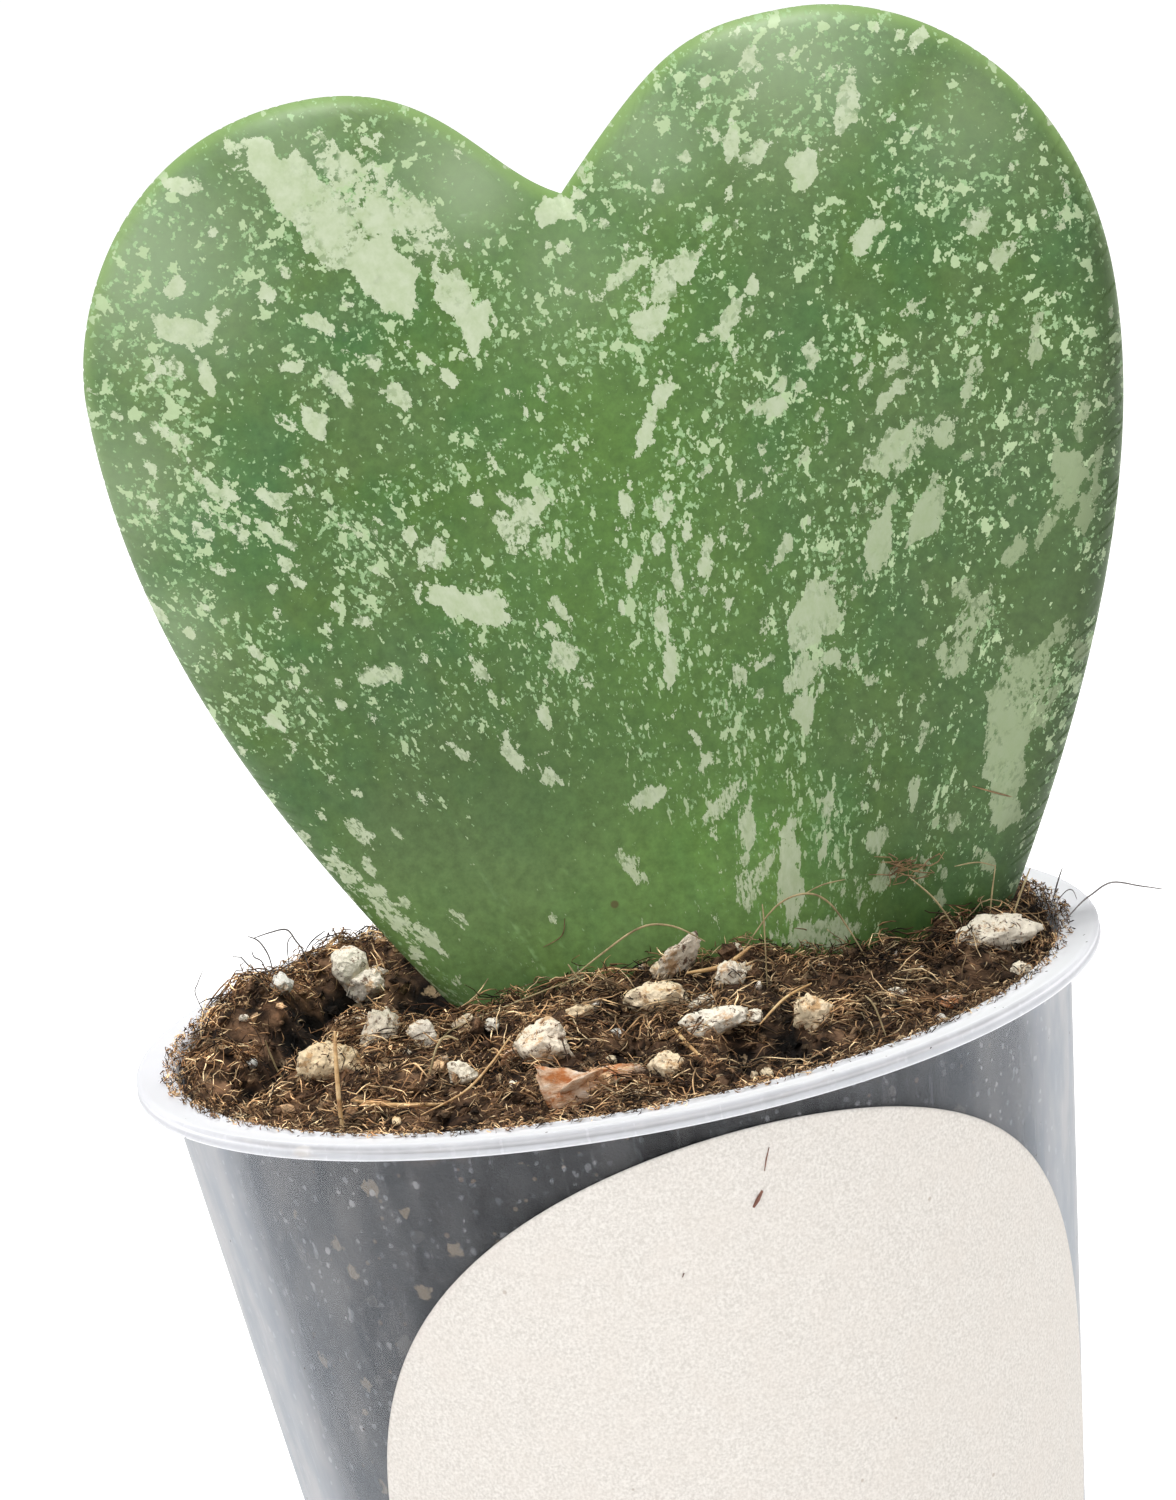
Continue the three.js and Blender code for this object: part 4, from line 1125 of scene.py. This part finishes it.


# %% Spots listed one by one
PATCHES = [  # x, z, half length, half width, lean in degrees, how pitted
    (-13.6, 126.3, 2.4, 1.1, -25, 0), (-4.4, 120.6, 3.4, 1.5, -30, 0.9), (-8.4, 124.6, 2.4, 1.5, -40, 0.7),
    (-12, 124, 2.6, 1.8, -20, 0.1), (-10, 121.5, 3.7, 2.6, -30, 0.3), (-7, 122.5, 2.8, 2.2, -40, 0.9),
    (-7, 117.5, 3.2, 1.8, -25, 0), (-3.5, 120, 1.6, 0.6, -25, 0.5), (-2.5, 115, 2.2, 1.2, 0, 0.2),
    (-1.5, 113, 1.5, 1.1, 15, 0), (-3.5, 117, 0.9, 0.5, -35, 0.2), (-21.5, 116, 1.8, 1.1, -65, 0.1),
    (-19.5, 115.5, 1.5, 0.5, -50, 0.2), (-19, 116.5, 1.1, 0.5, -5, 0), (-20, 112.5, 1.4, 0.5, -15, 0.3),
    (-19.5, 125.5, 1.2, 0.6, -70, 0.2), (-15, 117.5, 0.8, 0.7, 70, 0), (-21, 119, 1, 0.8, 10, 0.2),
    (-13.5, 108.5, 1.2, 0.8, -30, 0.1), (-11.5, 110.5, 1.5, 0.6, -35, 0.4), (-7.5, 109, 1.2, 0.7, -40, 0.2),
    (-21, 105, 2, 0.4, -35, 0.2), (-17, 103.5, 1.3, 0.6, -40, 0.2), (-4, 109.5, 0.7, 0.6, 10, 0),
    (-7, 98, 1.4, 0.9, 40, 0.3), (-8.5, 99.5, 0.7, 0.5, 10, 0.1), (-6, 94.5, 3, 1.2, -60, 0),
    (-4.3, 93.6, 1.7, 1.3, -70, 0), (-12, 90.5, 1.5, 0.8, 95, 0.5), (-0.5, 100, 1.7, 0.7, -45, 0.5),
    (-1.5, 98.7, 1.6, 1, -30, 0.8), (1, 100.5, 1.1, 0.6, -40, 0.5), (0.5, 89.5, 1.3, 1, -10, 0.5),
    (0, 91.5, 0.8, 0.3, -10, 0), (-4, 83.5, 1.6, 0.5, -25, 0.3), (-2, 81.5, 0.9, 0.5, -30, 0.3),
    (-1.5, 85.5, 1, 0.4, -25, 0.3), (5, 119.3, 1.7, 0.9, 95, 0.1), (5.2, 116.8, 0.8, 0.5, -50, 0),
    (11.5, 113.5, 2.3, 0.9, 50, 0.5), (10, 111, 1.4, 1.2, 30, 0.2), (9, 114.5, 2.2, 0.4, 60, 0.3),
    (13, 114, 1.5, 0.6, 50, 0.5), (15.5, 110.5, 1.5, 0.6, 35, 0.2), (10, 106.2, 1.4, 0.6, 25, 0.1),
    (8.6, 103.6, 1.6, 0.6, 25, 0.4), (17.5, 122, 1.5, 0.6, 30, 0.2), (19, 121, 1.2, 0.6, 40, 0.4),
    (22, 119.5, 1.4, 1.2, 20, 0.1), (25.5, 123, 1.6, 0.9, 25, 0.5), (25.5, 114.5, 2, 0.7, 40, 0.5),
    (25.5, 103.5, 1.8, 0.5, 55, 0.1), (20.5, 107, 1, 0.6, 0, 0.3), (25, 99.5, 2.7, 1.3, 50, 0.8),
    (28.5, 100.3, 1.3, 0.7, 20, 0.1), (26, 105.5, 1.1, 0.6, 50, 0.4), (23, 93.5, 2.5, 1.1, 20, 0.1),
    (26.5, 95, 2.4, 1, 25, 0.2), (17.5, 89.3, 2.7, 1.6, 35, 0.3), (16.5, 85.5, 2.1, 1, 25, 0.6),
    (16, 82.8, 1.5, 0.9, 10, 0), (28, 86.5, 3.2, 1, 35, 0.7), (27, 84.3, 1.4, 0.7, 30, 0.6),
    (36.5, 95.5, 2.1, 1, 20, 0.1), (37.2, 93, 1.9, 0.6, 15, 0.1), (34.5, 92.5, 1.6, 0.6, 40, 0.6),
    (32, 91, 1.3, 0.6, 45, 0.2), (30.2, 80, 3.6, 2.3, 25, 0.5), (31.2, 81.8, 3, 2.2, 35, 0.8),
    (29.2, 76.8, 3.4, 1.6, 15, 0.2), (28.5, 73.5, 1.7, 1.2, 10, 0.3), (33.5, 84.5, 1.9, 0.4, 40, 0.4),
    (13.2, 71.8, 3.4, 0.9, 10, 0), (10.9, 75.3, 2.6, 0.6, 12, 0.2), (10.3, 71.3, 1.8, 0.9, 15, 0.7),
    (9.6, 77.3, 1.5, 0.7, 40, 0.8), (7.5, 87.3, 1.7, 0.6, 5, 0), (7.5, 91, 1.6, 0.6, 5, 0.2),
    (9, 93.5, 1.6, 0.5, 0, 0.2), (11.2, 94.5, 1.5, 0.6, 10, 0.3), (16.5, 94.2, 1.6, 0.4, 45, 0.2),
    (19.5, 73.2, 1.1, 0.8, 30, 0.6), (19.5, 70.3, 1.3, 0.7, 50, 0.3), (15.8, 73, 1.4, 0.3, 12, 0.1),
    (4.2, 78.6, 1.4, 0.7, 75, 0.2), (2.6, 74, 1.7, 0.5, -30, 0.5), (14.6, 67.2, 2.6, 1, 90, 0.7),
    (-16.5, 76.5, 2.1, 0.7, -33, 0.9), (-14.5, 73.5, 2.5, 0.8, -35, 1), (-12.4, 71.6, 2.1, 0.7, -40, 1),
    (22.5, 76, 1, 0.4, 20, 0), (33, 114, 1.3, 1, 50, 0.7), (34.3, 111.5, 1, 0.7, 60, 0.6),
    (38, 99.5, 1.2, 0.5, 25, 0.4), (38.2, 94.5, 1.8, 0.3, 12, 0.4), (17.5, 104, 1.1, 0.7, 65, 0),
    (9, 98.5, 1.3, 0.7, 15, 0.6), (6.6, 99, 1.5, 0.6, 0, 0.6), (-23, 109, 1.4, 0.5, -60, 0.5)]
print("spots by hand:", len(PATCHES))

# %% Spots by draw
DRAWN_SPOTS = 620
CLUSTERS = 130
# Each bare place: x, z, reach and strength.
BARE = [
    (-6, 75, 9.5, 1), (3, 69, 7, 0.9), (-15, 82, 5, 0.7), (24, 80, 5, 0.5), (33, 88.5, 3.5, 0.6), (2, 122, 4, 0.5),
    (-1, 108, 4, 0.3), (22, 66, 7, 0.5)]


def blobs(marks, x, z):
    """The strongest of some soft round marks at each place, from 0 to 1."""
    return np.max([strength * np.exp(-((x - cx) ** 2 + (z - cz) ** 2) / reach ** 2)
                   for cx, cz, reach, strength in marks], axis=0)


def drawn_spots(count, draw):
    """Middling spots, in clusters that run with the veins."""
    low = whole_edge.min(axis=0)
    high = whole_edge.max(axis=0)
    group = draw.uniform((low[0], 62), high, (CLUSTERS, 2))
    lean = lean_at(group[:, 0], group[:, 1])
    member = draw.integers(0, CLUSTERS, count)
    along = draw.normal(0, 2.4, count)
    aside = draw.normal(0, 1.0, count)
    clustered = group[member] + np.column_stack([along * np.sin(lean[member]) + aside * np.cos(lean[member]),
                                                 along * np.cos(lean[member]) - aside * np.sin(lean[member])])
    free = draw.uniform((low[0], 62), high, (count, 2))
    middle = np.where(draw.uniform(0, 1, (count, 1)) < 0.5, free, clustered)
    wide = np.minimum(0.15 * (1 - draw.uniform(0, 1, count)) ** -0.5, 0.5)
    long = wide * draw.uniform(1.0, 2.4, count)
    lean = lean_at(middle[:, 0], middle[:, 1]) + draw.normal(0, 0.3, count)
    kept = draw.uniform(0, 1, count) > blobs(BARE, *middle.T)
    return np.column_stack([middle, long, wide, lean, draw.uniform(0, 0.9, count)])[kept]


patches = np.array(PATCHES)
patches[:, 4] = np.radians(patches[:, 4])
drawn = drawn_spots(DRAWN_SPOTS, np.random.default_rng(2024))
print("spots by draw:", len(drawn))

# %% Spot field
OUTSIDE = -0.8


def spot_field(places, spots, draw):
    """For each place, how far inside a spot it is in millimetres, and how pitted that spot is."""
    tree = KDTree(len(places))
    for i, (px, pz) in enumerate(places):
        tree.insert((px, pz, 0), i)
    tree.balance()
    field = np.full(len(places), OUTSIDE)
    pitted = np.zeros(len(places))
    for sx, sz, long, wide, lean, pits in spots:
        found = tree.find_range((sx, sz, 0), long * (1 - OUTSIDE / wide))
        if not found:
            continue
        near = np.array([index for _, index, _ in found])
        dx = places[near, 0] - sx
        dz = places[near, 1] - sz
        inside = np.stack([(dx * math.cos(lean) - dz * math.sin(lean)) / wide,
                           (dx * math.sin(lean) + dz * math.cos(lean)) / long])
        corners = draw.integers(5, 8)
        ways = 2 * math.pi * (np.arange(corners) + draw.uniform(-0.32, 0.32, corners)) / corners + draw.uniform(0, 6)
        gauge = np.stack([np.cos(ways), np.sin(ways)], axis=1) @ inside / draw.uniform(0.72, 1.02, corners)[:, None]
        value = (1 - gauge.max(axis=0)) * wide
        more = value > field[near]
        field[near[more]] = value[more]
        pitted[near[more]] = pits
    return field, pitted


shape_draw = np.random.default_rng(99)
field = np.empty(len(leaf_places))
pitted = np.empty(len(leaf_places))
for here, spots in ((on_face, np.concatenate([patches, drawn])), (~on_face, drawn[::3])):
    field[here], pitted[here] = spot_field(leaf_places[here][:, [0, 2]], spots, shape_draw)
print("share of the face that is silver:", round(float((field[on_face] > 0).mean()), 3))

# %% [markdown]
# Broad tones are kept on the vertices too: the glow along the midrib, the shaded right flank, the flat olive foot, a
# painted sheen on the lobes and margins and painted shade on the rolled right margin. The stalk and the roots are
# hidden in the mix. They are plain round rods that join the blade's mesh, so that the leaf stays one piece.

# %% Leaf tones
# Painted sheen: soft pale patches where the waxy lobes and margins catch the light.
PAINTED_SHEEN = [  # x, z, reach, strength
    (-27.5, 106, 6, 0.35), (-23, 121, 8, 0.6), (-25.5, 96, 4, 0.35), (22, 129, 8, 0.62), (-0.5, 122.3, 4.5, 0.6),
    (33, 121, 5, 0.3), (12, 123.5, 5, 0.45), (-2, 123.5, 5, 0.42), (-12, 129, 6, 0.4), (5, 116, 5.5, 0.25)]


tones = {"spots": field, "pitted": pitted, "haze": blobs(PAINTED_SHEEN, x, z), "bare": blobs(BARE, x, z),
         "glow": np.exp(-(rib_beside / 11.0) ** 2) * np.clip(1.15 - np.abs(z - 92) / 50, 0.15, 1),
         "shade": np.clip(rib_beside / 30, 0, 1) * np.clip((122 - z) / 30, 0, 1),
         "foot": blobs([(-8.0, 74.0, 14.0, 1.0), (2.0, 66.0, 10.0, 0.9)], x, z),
         "margin": np.clip(1 - edge_depth / 3.5, 0, 1) * np.clip((x - 18) / 10, 0, 1) * np.clip((118 - z) / 8, 0, 1),
         "edge": np.clip(1 - edge_depth / 0.9, 0, 1),
         "behind": np.clip(0.5 + (side * half_thickness)[pick] / 2.4, 0, 1)}

stalk_lines = [eased([(8.1, -0.8, 46.0), (8.4, 0.0, 33.0), (9.0, 0.4, 23.0)])]
root_draw = np.random.default_rng(7)
for root in range(5):
    turn = 2 * math.pi * (root + 0.5 * root_draw.uniform()) / 5
    stalk_lines.append(eased([(9.0 + reach * math.cos(turn), 0.4 + reach * math.sin(turn), height)
                              for reach, height in ((0, 26.0), (1.8, 21.0), (3.0, 9.5 + 6 * root_draw.uniform()))]))
stalk_mesh = strands("stalk", stalk_lines, [4.0] + [1.2] * 5, 10, 1.0)
leaf_bm = bmesh.new()
leaf_bm.from_mesh(leaf_mesh)
leaf_bm.from_mesh(stalk_mesh)
bmesh.ops.recalc_face_normals(leaf_bm, faces=leaf_bm.faces)
leaf_bm.to_mesh(leaf_mesh)
leaf_bm.free()
rods = len(leaf_mesh.vertices) - len(x)
for name, values in tones.items():
    store(leaf_mesh, name, np.concatenate([values, np.full(rods, OUTSIDE if name == "spots" else 0.0)]))
print("vertices of the stalk and roots:", rods)

# %% Silver spots
leaf_skin, place = new_material("waxy hoya leaf")
kept = {name: add("Attribute", attribute_name=name, out="Fac") for name in tones}
across = add("SeparateXYZ", place, out="X")
up = across.node.outputs["Z"]
flat_way = add("CombineXYZ", across, up)

# The fan: places as a turn about the leaf's foot and a way along, shortened so that noise runs with the veins.
from_foot = [add("Math", line, foot * MM, operation="SUBTRACT") for line, foot in ((across, 8.3), (up, 42))]
fan_turn = add("Math", add("Math", *from_foot, operation="ARCTAN2"), 50 * MM, operation="MULTIPLY")
fan_run = add("VectorMath", add("CombineXYZ", *from_foot), operation="LENGTH")
fan = add("CombineXYZ", fan_turn, add("Math", fan_run, 0.55, operation="MULTIPLY"))

# The spot field is frayed by noise of 0.9 mm and cut at 0. Pits of 0.3 mm break up the spots that are pitted.
fray = add("Math", add("TexNoise", fan, 1 / (0.9 * MM), 5.0, 0.7), 0.5, operation="SUBTRACT")
frayed = add("Math", fray, 2.6, kept["spots"], operation="MULTIPLY_ADD")
pits = add("MapRange", add("TexNoise", fan, 1 / (0.34 * MM), 3.0, 0.65), 0.5, 0.56)
for part in (add("MapRange", add("TexNoise", flat_way, 1 / (2.4 * MM), 2.0, 0.6), 0.4, 0.58),
             add("Math", kept["pitted"], 1.6, operation="MULTIPLY")):
    pits = add("Math", pits, part, operation="MULTIPLY")
unpitted = add("Math", 1.0, add("Math", pits, 1.0, operation="MINIMUM"), operation="SUBTRACT")
patch_share = add("Math", add("MapRange", frayed, 0.0, 0.03), unpitted, operation="MULTIPLY")
print("nodes for the large spots:", len(tree.nodes))

# %% Silver specks
crowd = add("Math", add("TexNoise", fan, 1 / (4.0 * MM), 3.0, 0.6), 0.5, operation="SUBTRACT")
crowd = add("Math", crowd, 0.38, operation="MULTIPLY")
crowd = add("Math", kept["bare"], -0.13, crowd, operation="MULTIPLY_ADD")


def flakes(size, level, soft):
    """Ragged flakes that run with the veins: the peaks of a noise above a level."""
    peaks = add("Math", add("TexNoise", fan, 1 / (size * MM), 3.0, 0.62), crowd)
    return add("MapRange", peaks, level, level + soft)


middling = flakes(0.8, 0.606, 0.01)
small = flakes(0.38, 0.604, 0.016)

# Silver dust of 0.1 mm would blur to grey, so it is drawn as ragged dots of up to 0.4 mm.
near = add("TexVoronoi", flat_way, 1 / (0.5 * MM), voronoi_dimensions="2D")
own = add("Math", crowd, 6.0, add("SeparateXYZ", near.node.outputs["Color"]), operation="MULTIPLY_ADD")
wide = add("MapRange", own, 0.5, 1.2, 0.0, 0.42)
uneven = add("Math", add("TexNoise", flat_way, 1 / (0.2 * MM), 2.0, 0.6), 0.5, operation="SUBTRACT")
within = add("Math", uneven, 1.3, add("Math", wide, near, operation="SUBTRACT"), operation="MULTIPLY_ADD")
dust = add("Math", add("Math", wide, 0.02, operation="GREATER_THAN"), add("MapRange", within, 0.0, 0.08),
           operation="MULTIPLY")
print("nodes with the specks:", len(tree.nodes))

# %% Green flesh
def coated(tone, coats):
    """Lays coats over a tone. Each is a mask, the most that it covers, and its colour."""
    for mask, most, coat in coats:
        tone = add("Mix", add("Math", mask, most, operation="MULTIPLY"), tone, coat, data_type="RGBA")
    return tone


# Flesh: blue-green and yellow-green cells in clouds of 5 mm, olive ones of 8 mm, then the broad tones.
mottle = add("MapRange", add("TexNoise", fan, 1 / (5.0 * MM), 3.0, 0.6), 0.36, 0.64)
olive = add("MapRange", add("TexNoise", flat_way, 1 / (8.0 * MM), 2.0, 0.6), 0.42, 0.62, 0.0, 0.6)
green = add("Mix", mottle, "#47723c", "#52742d", data_type="RGBA")
green = add("Mix", olive, green, "#5f7846", data_type="RGBA")
green = coated(green, [(kept["glow"], 0.75, "#5d8439"), (kept["shade"], 0.8, "#4f673b"),
                       (kept["foot"], 0.8, "#5a7145")])

# The skin's own grain is under 0.1 mm. It is drawn at 0.8 mm, as the faint unevenness that one sees.
grain = add("TexNoise", place, 1 / (0.8 * MM), 3.0, 0.7)
# Painted light: near the mix the green is lifted up to 2.1 times, far less on the right flank, against the shade
# there.
low = add("MapRange", up, 68 * MM, 84 * MM, 1.1, 0.0, interpolation_type="SMOOTHSTEP")
low = add("Math", low, add("MapRange", kept["shade"], 0.15, 0.42, 1.0, 0.05), operation="MULTIPLY")
for share in (add("MapRange", grain, 0.3, 0.7, 0.7, 1.06), add("Math", low, 1.0)):
    green = add("VectorMath", green, share, operation="SCALE")

# %% Painted sheen and silver
# A painted sheen, then the thin rim, painted light above and painted shade below, then specks from dust to flakes.
green = add("Mix", kept["haze"], green, "#a6b995", data_type="RGBA")
face = coated(green, [(kept["edge"], add("MapRange", up, 100 * MM, 118 * MM, 0.0, 0.65), "#8fb25e"),
                      (kept["edge"], add("MapRange", up, 112 * MM, 95 * MM, 0.0, 0.75), "#41621f"),
                      (dust, 0.38, "#93bb82"), (small, 0.74, "#a6c793"), (middling, 0.92, "#b4c99c")])

# The large spots are pale silver with a faint cloud of 0.7 mm, and duller in the shade.
silver = add("MapRange", add("TexNoise", fan, 1 / (0.7 * MM), 3.0, 0.7), 0.35, 0.65)
silver = add("Mix", silver, "#b2c19a", "#c2cdaf", data_type="RGBA")
silver = add("Mix", kept["shade"], silver, "#84956d", data_type="RGBA")
# The spots get a third of the same painted light near the mix.
silver = add("VectorMath", silver, add("Math", low, 0.3, 1.0, operation="MULTIPLY_ADD"), operation="SCALE")
face = add("Mix", patch_share, face, silver, data_type="RGBA")
# The rolled-back right margin is painted up to half as dark: painted shade.
face = add("VectorMath", face, add("MapRange", kept["margin"], 0.0, 1.0, 1.0, 0.5), operation="SCALE")
face = coated(face, [(kept["behind"], 0.75, "#7c9a62")])

# %% Hoya leaf finish
# A small corky scar near the foot, and the pale stalk under the mix.
scar = add("VectorMath", flat_way, (0.95 * MM, 71.7 * MM, 0), operation="DISTANCE")
for share, coat in ((add("MapRange", scar, 0.34 * MM, 0.22 * MM, 0.0, 0.75), "#6b5a3c"),
                    (add("MapRange", up, 40 * MM, 34 * MM), "#b3a27c")):
    face = add("Mix", share, face, coat, data_type="RGBA")
relief = add("Bump", Strength=0.25, Distance=0.08 * MM, Height=grain)
add("OutputMaterial", add("BsdfPrincipled", face, Roughness=0.48, Specular_IOR_Level=0.34, Normal=relief))
keep("leaf_blade", leaf_mesh, leaf_skin, ["leaf"])

# %% [markdown]
# Last come the stray bits: three specks of fibre that fell on the sticker, and the hairs that cling to the leaf's wax.
# They are strands like the rest, laid a hair's breadth above the surface that they lie on.

# %% Bits of fibre on the sticker
SPECKS = [([(6.35, 56.9), (6.7, 57.35), (7.1, 57.9)], 0.3), ([(7.45, 59.2), (7.7, 60.0), (8.0, 60.75)], 0.09),
          ([(1.05, 53.15), (1.2, 53.4)], 0.12)]
speck_lines = []
for points, _ in SPECKS:
    line = np.array(points)
    out_to = wall_radius(line[:, 1]) + GLUE_GAP + PAPER_THICKNESS + 0.03
    speck_lines.append(np.column_stack([line[:, 0], -np.sqrt(out_to ** 2 - line[:, 0] ** 2), line[:, 1]]))
speck_mesh = strands("sticker_specks", speck_lines, [thick for _, thick in SPECKS], 5)
keep("sticker_specks", speck_mesh, dry_stem("specks of fibre", ["#4a2f24", "#71483a", "#8d6350"], 0.7))

# %% Hairs on the leaf
MIX_LEVEL = 58


def on_leaf(points, standoff=0.1):
    """Lifts points (x, z) on to the leaf's face, above the mix."""
    face_points = leaf_places[on_face & (leaf_places[:, 2] > MIX_LEVEL)]
    return [(px, face_points[np.argmin(np.hypot(face_points[:, 0] - px, face_points[:, 2] - pz)), 1] - standoff, pz)
            for px, pz in points]


fluff_draw = np.random.default_rng(31)
fluff = []
for _ in range(26):
    steps = np.cumsum(fluff_draw.normal(0, 0.42, (5, 3)) * (1.3, 0.5, 0.7), axis=0)
    fluff.append(np.array(on_leaf([(21.0, 71.0)], 0.7)) + steps)
cling = [on_leaf([(26.6, 75.55), (28.4, 74.6), (31.0, 73.2)]), on_leaf([(-4.4, 69.6), (-3.0, 70.2), (-2.6, 71.4)])]
hair_mesh = strands("leaf_fluff", [eased(line, 4) for line in cling] + fluff, [0.12, 0.08] + [0.1] * len(fluff), 4)
keep("leaf_fluff", hair_mesh, dry_stem("leaf fluff", ["#5a4330", "#8f7352", "#b39468"], 0.7))
